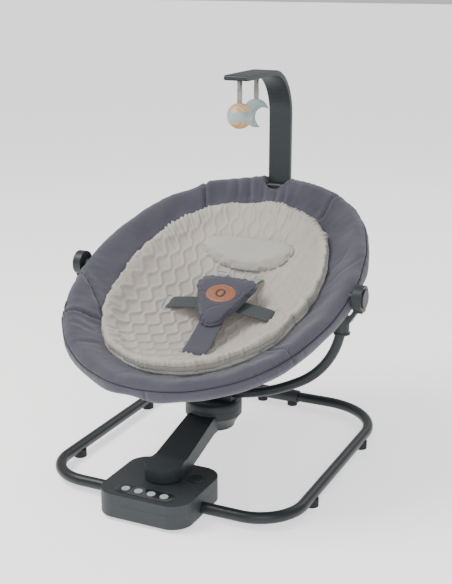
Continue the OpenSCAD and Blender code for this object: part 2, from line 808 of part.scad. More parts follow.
// Stretch of the rim between two angles of the hoop's normal, slit along its underside
module rim_stretch(from, to, steps) {
    bore = hoop_d / 2 + sleeve_t + 1.4;
    profile = concat([for (k = [0:17]) rim_r * [cos(-85 + k * 20), sin(-85 + k * 20)]],
        [for (k = [8:-1:0]) bore * [cos(-80 + k * 42.5), sin(-80 + k * 42.5)]]);
    sweep([for (i = [0:steps]) oval_point(from + (to - from) * i / steps, 0)], profile);
}

module seat_cover_rim() {
    joint = 22.5;
    near = asin((axis_v + joint) / side_r);
    far = asin((axis_v - joint) / side_r);
    head = acos(34 / hoop_end_r);
    color(slate) in_seat() {
        rim_stretch(far, -180 - far, 36);
        rim_stretch(head, near, 20);
        rim_stretch(180 - near, 180 - head, 20);
    }
}

module seat_cover_bowl() {
    outline = [for (i = [0:63]) oval_point(i * 360 / 64, rim_r + soft_gap)];
    color(slate) in_seat() bowl_shell(outline, [0, 0], -bowl_t, 0, 12);
}

function soft_outline(a, b, n) = [for (i = [0:n - 1]) soft_point(i * 360 / n, a, b)];

module seat_liner() {
    color(grey_liner) in_seat()
        bowl_shell(soft_outline(liner_half_w, liner_half_l, 64), [0, 0], liner_lift, liner_lift + liner_t, 9);
}

module head_pillow() {
    low = liner_t + liner_lift + 0.8;
    color("#a9aca6") in_seat()
        bowl_shell(soft_outline(pillow_half_w, pillow_half_l, 40), [0, pillow_v], low, low + pillow_t, 5);
}

// Harness, in the seat's frame

function liner_top(u, v) = bowl_height(u, v) + liner_t + liner_lift;

pad_place = [0, -10, liner_top(0, 0) + 60];
buckle_t = 11;
web_w0 = pad_place.z - pad_t / 2 - 0.5 - buckle_t / 2;

module at_pad() {
    in_seat() translate(pad_place) rotate([pad_tilt, 0, 0]) children();
}

module crotch_strap() {
    foot = [0, -165];
    start = [0, foot.y, liner_top(crotch_web_w / 2, foot.y) + web_t / 2 + 0.5];
    color("#3a3d42") in_seat() strap([start, start + [0, 22, 1], start + [0, 50, 3],
        start + [0, 85, 6], [0, pad_place.y - 52, web_w0 - 2.9]], [1, 0, 0], crotch_web_w, web_t);
}

module waist_straps() {
    end = [128, -20];
    color("#3a3d42") in_seat() on_both_sides() strap([[44, -9, web_w0], [72, -10, web_w0 - 2],
        [100, -14, web_w0 - 3], [end.x, end.y, liner_top(end.x, end.y) + web_t / 2 + 1.9]],
        [0, 1, 0], waist_web_w, web_t);
}

module shoulder_straps() {
    end = [46, pillow_v - pillow_half_l - 8];
    color("#9aa1a5") in_seat() on_both_sides() strap([[38, 34, web_w0 + 1], [40, 62, web_w0 + 4],
        [43, 88, web_w0 + 1], [end.x, end.y, liner_top(end.x, end.y) + web_t / 2 + 2]],
        [1, 0, 0], shoulder_web_w, web_t);
}

module pad_outline() {
    hull() {
        for (x = [-48, 48]) translate([x, 45]) circle(26, $fn = 32);
        translate([0, -52]) circle(24, $fn = 32);
    }
}

module crotch_pad() {
    color(slate) at_pad() translate([0, 0, -pad_t / 2]) linear_extrude(pad_t) pad_outline();
}

module badge() {
    color("#b5754c") at_pad() translate([0, 12, pad_t / 2 + 0.02]) linear_extrude(2.5)
        polygon([for (i = [0:47]) [badge_l / 2 * cos(i * 7.5), badge_w / 2 * sin(i * 7.5)]]);
}

module buckle() {
    color("#2b2d30") at_pad() difference() {
        translate([0, 0, -pad_t / 2 - 0.5 - buckle_t]) linear_extrude(buckle_t) rounded_plate(62, 52, 8);
        block([-13, 13], [-30, -12], [-pad_t / 2 - 9, -pad_t / 2 - 3]);
    }
}

module buckle_button() {
    color("#7d8488") at_pad() block([-12.7, 12.7], [-30, -15.5], [-pad_t / 2 - 8.7, -pad_t / 2 - 3.3]);
}

module toy_bar_socket() {
    color(plastic) difference() {
        translate([0, (socket_y[0] + socket_y[1]) / 2, bar_socket_top - socket_h])
            linear_extrude(socket_h) rounded_plate(54, socket_y[1] - socket_y[0], 7);
        in_seat() head_bend(hoop_d / 2 + fit);
        block([-neck_half_w - slip, neck_half_w + slip], [neck_y[0] - slip, neck_y[1] + slip / 2],
            [neck_low - slip, bar_socket_top + 5]);
    }
}

module side_label() {
    at = oval_point(200, -rim_r - 1.1);
    color("#33363a") in_seat() translate([at.x, at.y, 0]) rotate([0, 0, 20])
        block([-0.6, 0.6], [-9, 9], [-12, 4]);
}

// Toy bar

module toy_bar_line(t) {
    back = bar_y;
    rise = bar_top - toy_bar_r;
    translate([back - t / 2, bar_low]) square([t, rise - bar_low]);
    translate([back - toy_bar_r, rise]) intersection() {
        difference() {
            circle(toy_bar_r + t / 2);
            circle(toy_bar_r - t / 2);
        }
        square(2 * toy_bar_r);
    }
    translate([back - toy_bar_r - toy_bar_reach, bar_top - t / 2]) square([toy_bar_reach + 0.1, t]);
    translate([back - toy_bar_r - toy_bar_reach, bar_top]) circle(t / 2);
}

module toy_bar() {
    color(plastic) difference() {
        union() {
            rotate([90, 0, 90]) translate([0, 0, -toy_bar_w / 2]) linear_extrude(toy_bar_w)
                toy_bar_line(toy_bar_t);
            block([-neck_half_w, neck_half_w], neck_y, [neck_low, bar_low + 8]);
            for (y = toy_ys) block([-5, 5], [y - 3, y + 3],
                [bar_top - toy_bar_t / 2 - clip_drop - 5, bar_top - toy_bar_t / 2 + 1]);
        }
        for (y = toy_ys) translate([0, y - 10, bar_top - toy_bar_t / 2 - clip_drop]) rotate([-90, 0, 0])
            cylinder(r = 2.2 + fit, h = 20);
    }
}

module toy_clip(y) {
    z = bar_top - toy_bar_t / 2 - clip_drop;
    translate([0, y, z]) {
        translate([0, 5.4, 0]) rotate([90, 0, 0]) cylinder(r = 2.2, h = 10.8);
        for (s = [-1, 1]) scale([1, s, 1]) block([-3.5, 3.5], [3.4, 5.4], [-12, 3.5]);
        block([-3.5, 3.5], [-5.4, 5.4], [-14, -11]);
        block([-6, 6], [-1, 1], [-14 - ribbon_l, -13]);
    }
}

module ball_clip() { color("#8a8f88") toy_clip(toy_ys[1]); }
module moon_clip() { color("#8a8f88") toy_clip(toy_ys[0]); }

function toy_top() = bar_top - toy_bar_t / 2 - clip_drop - 14 - ribbon_l;

module toy_ball() {
    color("#c9b28f") translate([0, toy_ys[1], toy_top() - ball_r]) sphere(ball_r);
}

module toy_moon() {
    color("#9fb3b5") translate([0, toy_ys[0] + 9, toy_top() - moon_r]) rotate([90, 0, 0])
        linear_extrude(18) difference() {
            circle(moon_r);
            translate([moon_r * 0.62, -moon_r * 0.3]) circle(moon_r * 0.72);
        }
}

base_tube_left();
base_tube_right();
base_rear_joint();
base_feet();
drive_housing_tray();
drive_housing_cover();
housing_screws();
control_panel();
power_button();
speed_button();
timer_button();
sound_button();
circuit_board();
speaker();
speaker_grille();
drive_motor();
motor_bracket();
pivot_bearing_lower();
pivot_bearing_upper();
dc_inlet();
motor_pinion();
motor_shaft();
swing_arm();
arm_bottom_cover();
arm_shaft();
sector_gear();
swivel_bearing();
hub_bottom_cap();
hub_cap();
swivel_shaft();
shaft_clip();
yoke_tube();
side_socket_left();
side_socket_right();
recline_housing_left();
recline_housing_right();
recline_pins();
button_washers();
recline_button_left();
recline_button_right();
seat_hoop();
hoop_brackets();
seat_cover_rim();
seat_cover_bowl();
seat_liner();
head_pillow();
crotch_strap();
waist_straps();
shoulder_straps();
crotch_pad();
badge();
buckle();
buckle_button();
toy_bar_socket();
side_label();
toy_bar();
ball_clip();
toy_ball();
moon_clip();
toy_moon();
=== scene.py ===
import json
import math

import bmesh
import bpy
import numpy as np
from mathutils import Matrix, Vector

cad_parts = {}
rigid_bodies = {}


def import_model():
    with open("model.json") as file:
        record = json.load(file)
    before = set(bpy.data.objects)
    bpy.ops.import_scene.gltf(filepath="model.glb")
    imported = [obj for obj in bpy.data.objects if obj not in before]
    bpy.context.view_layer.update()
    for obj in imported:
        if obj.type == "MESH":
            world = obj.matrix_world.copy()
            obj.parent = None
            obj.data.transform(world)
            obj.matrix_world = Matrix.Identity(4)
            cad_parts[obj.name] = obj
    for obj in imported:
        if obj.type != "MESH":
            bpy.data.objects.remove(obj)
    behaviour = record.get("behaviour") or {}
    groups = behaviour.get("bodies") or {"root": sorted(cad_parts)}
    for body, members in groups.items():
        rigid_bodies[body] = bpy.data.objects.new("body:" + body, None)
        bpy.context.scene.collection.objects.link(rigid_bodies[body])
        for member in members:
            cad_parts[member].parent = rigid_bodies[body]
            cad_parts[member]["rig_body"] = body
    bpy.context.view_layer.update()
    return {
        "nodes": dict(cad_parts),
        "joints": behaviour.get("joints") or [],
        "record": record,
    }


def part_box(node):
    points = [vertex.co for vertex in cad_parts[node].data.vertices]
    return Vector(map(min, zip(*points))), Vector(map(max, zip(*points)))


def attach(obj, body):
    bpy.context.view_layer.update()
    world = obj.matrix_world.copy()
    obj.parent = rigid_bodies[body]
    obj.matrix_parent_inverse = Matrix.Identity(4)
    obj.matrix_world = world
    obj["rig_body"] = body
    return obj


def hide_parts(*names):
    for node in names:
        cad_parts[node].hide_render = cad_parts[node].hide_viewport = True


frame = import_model()
print("frame loaded")

# Camera, lights and world

shot = {"azimuth": 25.3, "elevation": 16.6, "place": (1.030, -2.133, 1.106), "lens": 67.8}


def addCamera(shot):
    a, e = math.radians(shot["azimuth"]), math.radians(shot["elevation"])
    back = Vector((math.sin(a) * math.cos(e), -math.cos(a) * math.cos(e), math.sin(e)))
    across = Vector((math.cos(a), math.sin(a), 0))
    turn = Matrix((across, back.cross(across), back)).transposed().to_4x4()
    camera = bpy.data.objects.new("camera", bpy.data.cameras.new("camera"))
    camera.data.lens = shot["lens"]
    camera.matrix_world = Matrix.Translation(shot["place"]) @ turn
    bpy.context.scene.collection.objects.link(camera)
    bpy.context.scene.camera = camera


def addLight(name, place, aim, size, power, colour):
    data = bpy.data.lights.new(name, "AREA")
    data.shape, data.size, data.energy, data.color = "DISK", size, power, colour
    lamp = bpy.data.objects.new(name, data)
    toward = Vector(aim) - Vector(place)
    lamp.matrix_world = Matrix.Translation(place) @ toward.to_track_quat("-Z", "Y").to_matrix().to_4x4()
    bpy.context.scene.collection.objects.link(lamp)


addCamera(shot)
addLight("keyLight", (-1.5, -1.0, 2.9), (0, 0, 0.45), 1.5, 92, (1.0, 0.985, 0.96))
addLight("fillLight", (1.6, -2.8, 2.0), (0, 0, 0.4), 2.4, 52, (0.96, 0.98, 1.0))
addLight("backLight", (0.8, 2.8, 2.6), (0, 0, 0.5), 2.0, 24, (0.98, 0.99, 1.0))
world = bpy.data.worlds.new("studio")
bpy.context.scene.world = world
world.use_nodes = True
world.node_tree.nodes["Background"].inputs["Color"].default_value = (0.86, 0.87, 0.87, 1)
world.node_tree.nodes["Background"].inputs["Strength"].default_value = 0.74
print("camera and lights")

# Materials


def startMaterial(name, roughness, metallic=0.0, sheen=0.0, coat=0.0, specular=0.5):
    made = bpy.data.materials.new(name)
    made.use_nodes = True
    tree = made.node_tree
    face = tree.nodes["Principled BSDF"]
    for socket, value in (("Roughness", roughness), ("Metallic", metallic), ("Sheen Weight", sheen),
                          ("Sheen Roughness", 0.5), ("Coat Weight", coat), ("Specular IOR Level", specular)):
        face.inputs[socket].default_value = value
    return made, tree, face


def addNode(tree, kind, inputs=(), **settings):
    node = tree.nodes.new(kind)
    for key, value in settings.items():
        setattr(node, key, value)
    for key, value in dict(inputs).items():
        if isinstance(value, bpy.types.NodeSocket):
            tree.links.new(value, node.inputs[key])
        else:
            node.inputs[key].default_value = value
    return node


def coordinates(tree, kind, turn=0.0):
    source = addNode(tree, "ShaderNodeTexCoord").outputs[kind]
    return addNode(tree, "ShaderNodeMapping", {"Vector": source, "Rotation": (0, 0, turn)}).outputs["Vector"]


def colourRamp(tree, factor, stops):
    ramp = addNode(tree, "ShaderNodeValToRGB", {"Fac": factor})
    while len(ramp.color_ramp.elements) < len(stops):
        ramp.color_ramp.elements.new(0.5)
    for element, (place, colour) in zip(ramp.color_ramp.elements, stops):
        element.position, element.color = place, (*colour, 1)
    return ramp.outputs["Color"]


def blendColour(tree, kind, amount, first, second):
    mix = addNode(tree, "ShaderNodeMix", data_type="RGBA", blend_type=kind)
    for key, value in ((0, amount), (6, first), (7, second)):
        if isinstance(value, bpy.types.NodeSocket):
            tree.links.new(value, mix.inputs[key])
        elif key:
            mix.inputs[key].default_value = (*value, 1)
        else:
            mix.inputs[key].default_value = value
    return mix.outputs[2]


def maths(tree, kind, first, second=0.0):
    return addNode(tree, "ShaderNodeMath", {0: first, 1: second}, operation=kind).outputs[0]


def wave(tree, place, pitch, direction="X", distortion=0.0):
    # One light and one dark band in each pitch, in metres
    return addNode(tree, "ShaderNodeTexWave",
                   {"Vector": place, "Scale": 0.314 / pitch, "Distortion": distortion,
                   "Detail": 1.0}, bands_direction=direction).outputs["Fac"]


def noise(tree, place, size, detail=2.0):
    return addNode(tree, "ShaderNodeTexNoise",
                   {"Vector": place, "Scale": 1 / size, "Detail": detail}).outputs["Fac"]


def bump(tree, height, distance, strength=1.0, below=None):
    given = {"Height": height, "Distance": distance, "Strength": strength}
    if below is not None:
        given["Normal"] = below
    return addNode(tree, "ShaderNodeBump", given).outputs["Normal"]


def tint(colour, factor):
    return tuple(min(1.0, c * factor) for c in colour)


def clothMaterial(name, colour, pitch, kind="UV", twill=0.0, sheen=0.25, relief=0.00022, fleck=0.08,
                  roughness=0.88):
    # Two crossed sets of bands give over and under threads; long noise shifts the dye and short noise the
    # yarn
    made, tree, face = startMaterial(name, roughness, sheen=sheen, specular=0.25)
    place = coordinates(tree, kind, turn=math.radians(twill))
    threads = maths(tree, "MULTIPLY", wave(tree, place, pitch), wave(tree, place, pitch, "Y"))
    if twill:
        threads = wave(tree, place, pitch, "X", 0.4)
    flat = coordinates(tree, "Object")
    yarn = noise(tree, flat, 0.0016, 3)
    cloud = noise(tree, flat, 0.09, 3)
    base = colourRamp(tree, cloud, [(0.3, tint(colour, 1 - fleck)), (0.7, tint(colour, 1 + fleck))])
    specks = colourRamp(tree, yarn, [(0.35, (0.80, 0.80, 0.80)), (0.65, (1.0, 1.0, 1.0))])
    shade = colourRamp(tree, threads, [(0.0, (0.78, 0.78, 0.78)), (0.6, (1.0, 1.0, 1.0))])
    base = blendColour(tree, "MULTIPLY", 0.55, base, specks)
    tree.links.new(blendColour(tree, "MULTIPLY", 0.5, base, shade), face.inputs["Base Color"])
    creases = bump(tree, noise(tree, flat, 0.02, 4), 0.0009, 0.5)
    tree.links.new(bump(tree, threads, relief, 0.8, creases), face.inputs["Normal"])
    return made


def webbingMaterial(name, colour, rib):
    # Ribs run along the webbing, crossed by finer picks
    made, tree, face = startMaterial(name, 0.62, sheen=0.15, specular=0.4)
    place = coordinates(tree, "UV")
    ribs = wave(tree, place, rib, "Y")
    picks = wave(tree, place, rib * 0.6, "X")
    weave = maths(tree, "ADD", maths(tree, "MULTIPLY", ribs, 0.7), maths(tree, "MULTIPLY", picks, 0.3))
    base = colourRamp(tree, weave, [(0.1, tint(colour, 0.66)), (0.8, tint(colour, 1.12))])
    dust = colourRamp(tree, noise(tree, coordinates(tree, "Object"), 0.03, 3),
                      [(0.3, (0.88, 0.88, 0.88)), (0.7, (1, 1, 1))])
    tree.links.new(blendColour(tree, "MULTIPLY", 0.6, base, dust), face.inputs["Base Color"])
    tree.links.new(bump(tree, weave, 0.0003, 0.9), face.inputs["Normal"])
    return made


def mouldedMaterial(name, colour, roughness, grain=0.00035, relief=0.00005, coat=0.0, specular=0.5):
    # Spark-eroded texture in the gloss and bump, with faint wear in the colour
    made, tree, face = startMaterial(name, roughness, coat=coat, specular=specular)
    place = coordinates(tree, "Object")
    spark = noise(tree, place, grain, 2)
    wear = noise(tree, place, 0.06, 4)
    tree.links.new(colourRamp(tree, wear, [(0.35, tint(colour, 0.9)), (0.7, tint(colour, 1.12))]),
                   face.inputs["Base Color"])
    gloss = addNode(tree, "ShaderNodeMapRange",
                    {"Value": wear, "To Min": roughness - 0.06, "To Max": roughness + 0.08})
    tree.links.new(gloss.outputs["Result"], face.inputs["Roughness"])
    tree.links.new(bump(tree, spark, relief, 0.7), face.inputs["Normal"])
    return made


def metalMaterial(name, colour, roughness, brush=0.0006):
    # Fine turned lines in the bump and gloss
    made, tree, face = startMaterial(name, roughness, metallic=1.0)
    place = coordinates(tree, "Object")
    lines = noise(tree,
                  addNode(tree, "ShaderNodeMapping",
                          {"Vector": place, "Scale": (1, 1, 30)}).outputs["Vector"], brush * 20, 3)
    tree.links.new(colourRamp(tree, lines, [(0.3, tint(colour, 0.85)), (0.7, colour)]),
                   face.inputs["Base Color"])
    gloss = addNode(tree, "ShaderNodeMapRange",
                    {"Value": lines, "To Min": roughness - 0.08, "To Max": roughness + 0.1})
    tree.links.new(gloss.outputs["Result"], face.inputs["Roughness"])
    tree.links.new(bump(tree, lines, 0.00004, 0.5), face.inputs["Normal"])
    return made


def leatherMaterial(name, colour):
    # Cells of a Voronoi pattern for the grain, darker in the creases
    made, tree, face = startMaterial(name, 0.5, coat=0.12, specular=0.45)
    place = coordinates(tree, "Object")
    cells = addNode(tree, "ShaderNodeTexVoronoi", {"Vector": place, "Scale": 1100.0},
                    feature="DISTANCE_TO_EDGE").outputs["Distance"]
    pull = noise(tree, place, 0.012, 4)
    base = colourRamp(tree, pull, [(0.3, tint(colour, 0.82)), (0.7, tint(colour, 1.15))])
    crease = colourRamp(tree, cells, [(0.0, (0.72, 0.68, 0.66)), (0.12, (1, 1, 1))])
    tree.links.new(blendColour(tree, "MULTIPLY", 0.6, base, crease), face.inputs["Base Color"])
    tree.links.new(bump(tree, cells, 0.0002, 0.5), face.inputs["Normal"])
    return made


def woodMaterial(name, colour):
    # Long growth rings, stretched along the grain
    made, tree, face = startMaterial(name, 0.42, coat=0.1)
    place = addNode(tree, "ShaderNodeMapping",
                    {"Vector": coordinates(tree, "Object"), "Scale": (1, 1, 0.18)}).outputs["Vector"]
    rings = addNode(tree, "ShaderNodeTexWave",
                    {"Vector": place, "Scale": 60.0, "Distortion": 6.0, "Detail": 3.0,
                    "Detail Scale": 0.6}, wave_type="RINGS").outputs["Fac"]
    pores = noise(tree, place, 0.0009, 2)
    base = colourRamp(tree, rings, [(0.0, tint(colour, 0.8)), (0.5, colour), (1.0, tint(colour, 1.15))])
    fine = colourRamp(tree, pores, [(0.38, (0.78, 0.74, 0.7)), (0.55, (1, 1, 1))])
    tree.links.new(blendColour(tree, "MULTIPLY", 0.5, base, fine), face.inputs["Base Color"])
    tree.links.new(bump(tree, rings, 0.00012, 0.4), face.inputs["Normal"])
    return made


slate = (0.068, 0.066, 0.090)
stone = (0.49, 0.445, 0.400)
coverTwill = clothMaterial("coverTwill", slate, 0.0011, twill=38)
slingTwill = clothMaterial("slingTwill", tint(slate, 0.8), 0.0011, twill=38)
linerJersey = clothMaterial("linerJersey", stone, 0.0013, sheen=0.35, fleck=0.05)
linerBacking = clothMaterial("linerBacking", (0.43, 0.43, 0.39), 0.0012, sheen=0.3, fleck=0.05)
pillowJersey = clothMaterial("pillowJersey", (0.47, 0.45, 0.41), 0.0011, kind="Object", sheen=0.35,
                             fleck=0.05)
padTwill = clothMaterial("padTwill", slate, 0.0011, kind="Object", twill=38)
feltWool = clothMaterial("feltWool", (0.30, 0.38, 0.385), 0.0009, kind="Object", sheen=0.6, fleck=0.12)
threadSlate = clothMaterial("threadSlate", tint(slate, 1.35), 0.0006, kind="Object", sheen=0.1)
threadDark = clothMaterial("threadDark", tint(slate, 0.35), 0.0006, kind="Object", sheen=0.05)
threadStone = clothMaterial("threadStone", tint(stone, 0.55), 0.0006, kind="Object", sheen=0.1)
threadTan = clothMaterial("threadTan", (0.62, 0.40, 0.24), 0.0006, kind="Object", sheen=0.1)
darkWebbing = webbingMaterial("darkWebbing", (0.040, 0.048, 0.052), 0.0024)
lightWebbing = webbingMaterial("lightWebbing", (0.30, 0.335, 0.355), 0.0021)
ribbonWeave = webbingMaterial("ribbonWeave", (0.35, 0.37, 0.34), 0.0012)
satinPlastic = mouldedMaterial("satinPlastic", (0.015, 0.020, 0.023), 0.44, specular=0.4)
housingPlastic = mouldedMaterial("housingPlastic", (0.026, 0.031, 0.034), 0.5, specular=0.4)
powderCoat = mouldedMaterial("powderCoat", (0.009, 0.013, 0.0145), 0.38, grain=0.0007, relief=0.00008,
                             specular=0.4)
glossPanel = mouldedMaterial("glossPanel", (0.012, 0.013, 0.014), 0.16, relief=0.00001, coat=0.5)
buttonPlastic = mouldedMaterial("buttonPlastic", (0.42, 0.44, 0.44), 0.38)
softRubber = mouldedMaterial("softRubber", (0.022, 0.022, 0.024), 0.78, grain=0.0012, relief=0.0001,
                             specular=0.3)
gearPlastic = mouldedMaterial("gearPlastic", (0.68, 0.65, 0.56), 0.4)
boardGreen = mouldedMaterial("boardGreen", (0.012, 0.09, 0.045), 0.3, coat=0.4)
zincSteel = metalMaterial("zincSteel", (0.62, 0.63, 0.64), 0.3)
badgeLeather = leatherMaterial("badgeLeather", (0.26, 0.085, 0.034))
oiledBeech = woodMaterial("oiledBeech", (0.55, 0.36, 0.20))
print("materials")

# Mesh helpers


def finishMesh(name, mesh, materials):
    mesh.shade_smooth()
    for one in materials:
        mesh.materials.append(one)
    piece = bpy.data.objects.new(name, mesh)
    bpy.context.scene.collection.objects.link(piece)
    return piece


def gridPiece(name, points, materials, cloth=None, closeRows=False, poles=(False, False), pick=None):
    # Rows run along the profile and columns run around it and close; each four neighbours make a face.
    # A pole gathers its end row into one point. cloth holds each point's place on the flat fabric.
    columns = points.shape[1]
    if poles[0]:
        points = np.concatenate([np.repeat(points[:1].mean(1, keepdims=True), columns, 1), points])
        cloth = None if cloth is None else np.concatenate([cloth[:1], cloth])
        pick = None if pick is None else np.concatenate([pick[:1], pick])
    if poles[1]:
        points = np.concatenate([points, np.repeat(points[-1:].mean(1, keepdims=True), columns, 1)])
        cloth = None if cloth is None else np.concatenate([cloth, cloth[-1:]])
        pick = None if pick is None else np.concatenate([pick, pick[-1:]])
    total = len(points)
    index = np.arange(total * columns).reshape(total, columns)
    if poles[0]:
        index[0] = index[0, 0]
    if poles[1]:
        index[-1] = index[-1, 0]
    kept, index = np.unique(index, return_inverse=True)
    index = index.reshape(total, columns)
    low = np.arange(total if closeRows else total - 1)
    i, j = np.meshgrid(low, np.arange(columns), indexing="ij")
    i, j = i.ravel(), j.ravel()
    up, on = (i + 1) % total, (j + 1) % columns
    corners = np.stack([index[i, j], index[i, on], index[up, on], index[up, j]], 1)
    if cloth is None:
        spread = None
    else:
        wide = np.concatenate([cloth, cloth[:, :1] * 0 + cloth[:, -1:] * 2 - cloth[:, -2:-1]], 1)
        tall = np.concatenate([wide, 2 * wide[-1:] - wide[-2:-1]])
        spread = np.stack([tall[i, j], tall[i, j + 1], tall[i + 1, j + 1], tall[i + 1, j]], 1)
    double = np.stack([corners[:, k] == corners[:, (k + 1) % 4] for k in range(4)], 1)
    size = 4 - double.sum(1)
    keep = ~double
    loops = corners[keep]
    mesh = bpy.data.meshes.new(name)
    mesh.vertices.add(len(kept))
    mesh.vertices.foreach_set("co", points.reshape(-1, 3)[kept].astype(np.float32).ravel())
    mesh.loops.add(len(loops))
    mesh.loops.foreach_set("vertex_index", loops.astype(np.int32))
    mesh.polygons.add(len(size))
    mesh.polygons.foreach_set("loop_start", np.concatenate([[0], np.cumsum(size)[:-1]]).astype(np.int32))
    if pick is not None:
        mesh.polygons.foreach_set("material_index", pick[i, j].astype(np.int32))
    if spread is not None:
        layer = mesh.uv_layers.new(name="cloth")
        layer.data.foreach_set("uv", spread[keep].astype(np.float32).ravel())
    mesh.update(calc_edges=True)
    mesh.validate()
    return finishMesh(name, mesh, materials)


def gridNormals(points, closeRows=False):
    # Cross product of the steps along the rows and along the columns
    if closeRows:
        along = np.roll(points, -1, 0) - np.roll(points, 1, 0)
    else:
        along = np.gradient(points, axis=0)
    around = np.roll(points, -1, 1) - np.roll(points, 1, 1)
    normal = np.cross(around, along)
    return normal / np.maximum(np.linalg.norm(normal, axis=2, keepdims=True), 1e-9)


def smoothStep(x, low, high):
    x = np.clip((x - low) / (high - low), 0, 1)
    return x * x * (3 - 2 * x)


def bell(x, width):
    return np.exp(-(x / width) ** 2)


def softWaves(a, periodA, b, periodB, seed, count, lowA, highA, highB):
    # Sum of count cosines whose whole turns round a and b are drawn by seed, scaled to about one
    draw = np.random.default_rng(seed)
    total = 0
    for turnsA, turnsB, phase in zip(draw.integers(lowA, highA + 1, count),
                                     draw.integers(-highB, highB + 1, count),
                                     draw.uniform(0, 2 * math.pi, count)):
        total = total + np.cos(2 * math.pi * (turnsA * a / periodA + turnsB * b / periodB) + phase)
    return total * 1.4 / math.sqrt(count)


def splinePoints(knots, count):
    # Catmull-Rom curve through the knots, evenly spaced along its length
    knots = np.asarray(knots, float)
    ends = np.concatenate([2 * knots[:1] - knots[1:2], knots, 2 * knots[-1:] - knots[-2:-1]])
    t = np.linspace(0, len(knots) - 1 - 1e-9, 40 * len(knots))
    k, f = t.astype(int), (t % 1)[:, None]
    p0, p1, p2, p3 = ends[k], ends[k + 1], ends[k + 2], ends[k + 3]
    fine = 0.5 * (2 * p1 + (p2 - p0) * f + (2 * p0 - 5 * p1 + 4 * p2 - p3) * f ** 2
                  + (3 * p1 - p0 - 3 * p2 + p3) * f ** 3)
    gone = np.concatenate([[0], np.cumsum(np.linalg.norm(np.diff(fine, axis=0), axis=1))])
    at = np.linspace(0, gone[-1], count)
    return np.stack([np.interp(at, gone, fine[:, c]) for c in range(fine.shape[1])], 1)


def sweepPiece(name, path, across, profile, materials, closed=False):
    # A closed profile (side, lift) carried along the path: side lies along the across direction, made square
    # to the path, and lift along the normal of the two. Ends are closed by a pole.
    path, across, profile = np.asarray(path, float), np.asarray(across, float), np.asarray(profile, float)
    ahead = np.roll(path, -1, 0) - np.roll(path, 1, 0) if closed else np.gradient(path, axis=0)
    ahead = ahead / np.linalg.norm(ahead, axis=1, keepdims=True)
    side = np.broadcast_to(across, path.shape) - ahead * (np.broadcast_to(across, path.shape) * ahead).sum(1,
            keepdims=True)
    side = side / np.linalg.norm(side, axis=1, keepdims=True)
    lift = np.cross(side, ahead)
    shape = profile if profile.ndim == 3 else np.broadcast_to(profile, (len(path), *profile.shape))
    points = path[:, None] + side[:, None] * shape[..., :1] + lift[:, None] * shape[..., 1:]
    gone = np.concatenate([[0], np.cumsum(np.linalg.norm(np.diff(path, axis=0), axis=1))])
    cloth = np.stack(np.broadcast_arrays(gone[:, None], shape[..., 0]), 2)
    return gridPiece(name, points, materials, cloth, closeRows=closed, poles=(not closed, not closed))


def roundProfile(radius, count):
    turn = np.linspace(0, 2 * math.pi, count, endpoint=False)
    return np.stack([radius * np.cos(turn), radius * np.sin(turn)], 1)


def bandProfile(width, thickness, count=28):
    # A flat strip whose edges are rounded: a superellipse of power six
    turn = np.linspace(0, 2 * math.pi, count, endpoint=False)
    c, s = np.cos(turn), np.sin(turn)
    return np.stack([width / 2 * np.sign(c) * np.abs(c) ** 0.45,
                     thickness / 2 * np.sign(s) * np.abs(s) ** 0.6], 1)


# The seat's own frame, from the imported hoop

hoopLow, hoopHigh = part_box("seat_hoop")
recline = next(j for j in frame["joints"] if j["name"] == "seat_recline")
seat = {"tube": 0.008, "endRadius": 0.290, "straight": 0.012, "height": recline["pos_m"][2]}
seat["halfWidth"] = 0.308
seat["tilt"] = math.atan2((hoopHigh.z - hoopLow.z) / 2 - seat["tube"],
                          (hoopHigh.y - hoopLow.y) / 2 - seat["tube"])
seat["halfLength"] = math.hypot((hoopHigh.z - hoopLow.z) / 2 - seat["tube"],
                                (hoopHigh.y - hoopLow.y) / 2 - seat["tube"])
rim = {"radius": 0.022, "gap": 0.0004}
dish = {"depth": 0.135, "power": 1.6, "round": 2.17, "footBias": 0.3,
        "halfWidth": seat["halfWidth"] - rim["radius"] - rim["gap"],
        "halfLength": seat["halfLength"] - rim["radius"] - rim["gap"]}


def toRow(points):
    # Seat frame (across, headward, up) turned by the tilt about X and lifted to the recline axis
    c, s = math.cos(seat["tilt"]), math.sin(seat["tilt"])
    u, v, w = points[..., 0], points[..., 1], points[..., 2]
    return np.stack([u, v * c - w * s, seat["height"] + v * s + w * c], -1)


def fromRow(points):
    c, s = math.cos(seat["tilt"]), math.sin(seat["tilt"])
    y, z = points[..., 1], points[..., 2] - seat["height"]
    return np.stack([points[..., 0], y * c + z * s, -y * s + z * c], -1)


def dishHeight(u, v):
    # Depth times (1 - q) to a power, where q grows from 0 at the middle to 1 on a superellipse
    q = (np.abs(u / dish["halfWidth"]) ** dish["round"]
         + np.abs(v / dish["halfLength"]) ** dish["round"]) ** (2 / dish["round"])
    return -dish["depth"] * np.maximum(0, 1 - q) ** dish["power"] * (1 - dish["footBias"] * v
            / dish["halfLength"])


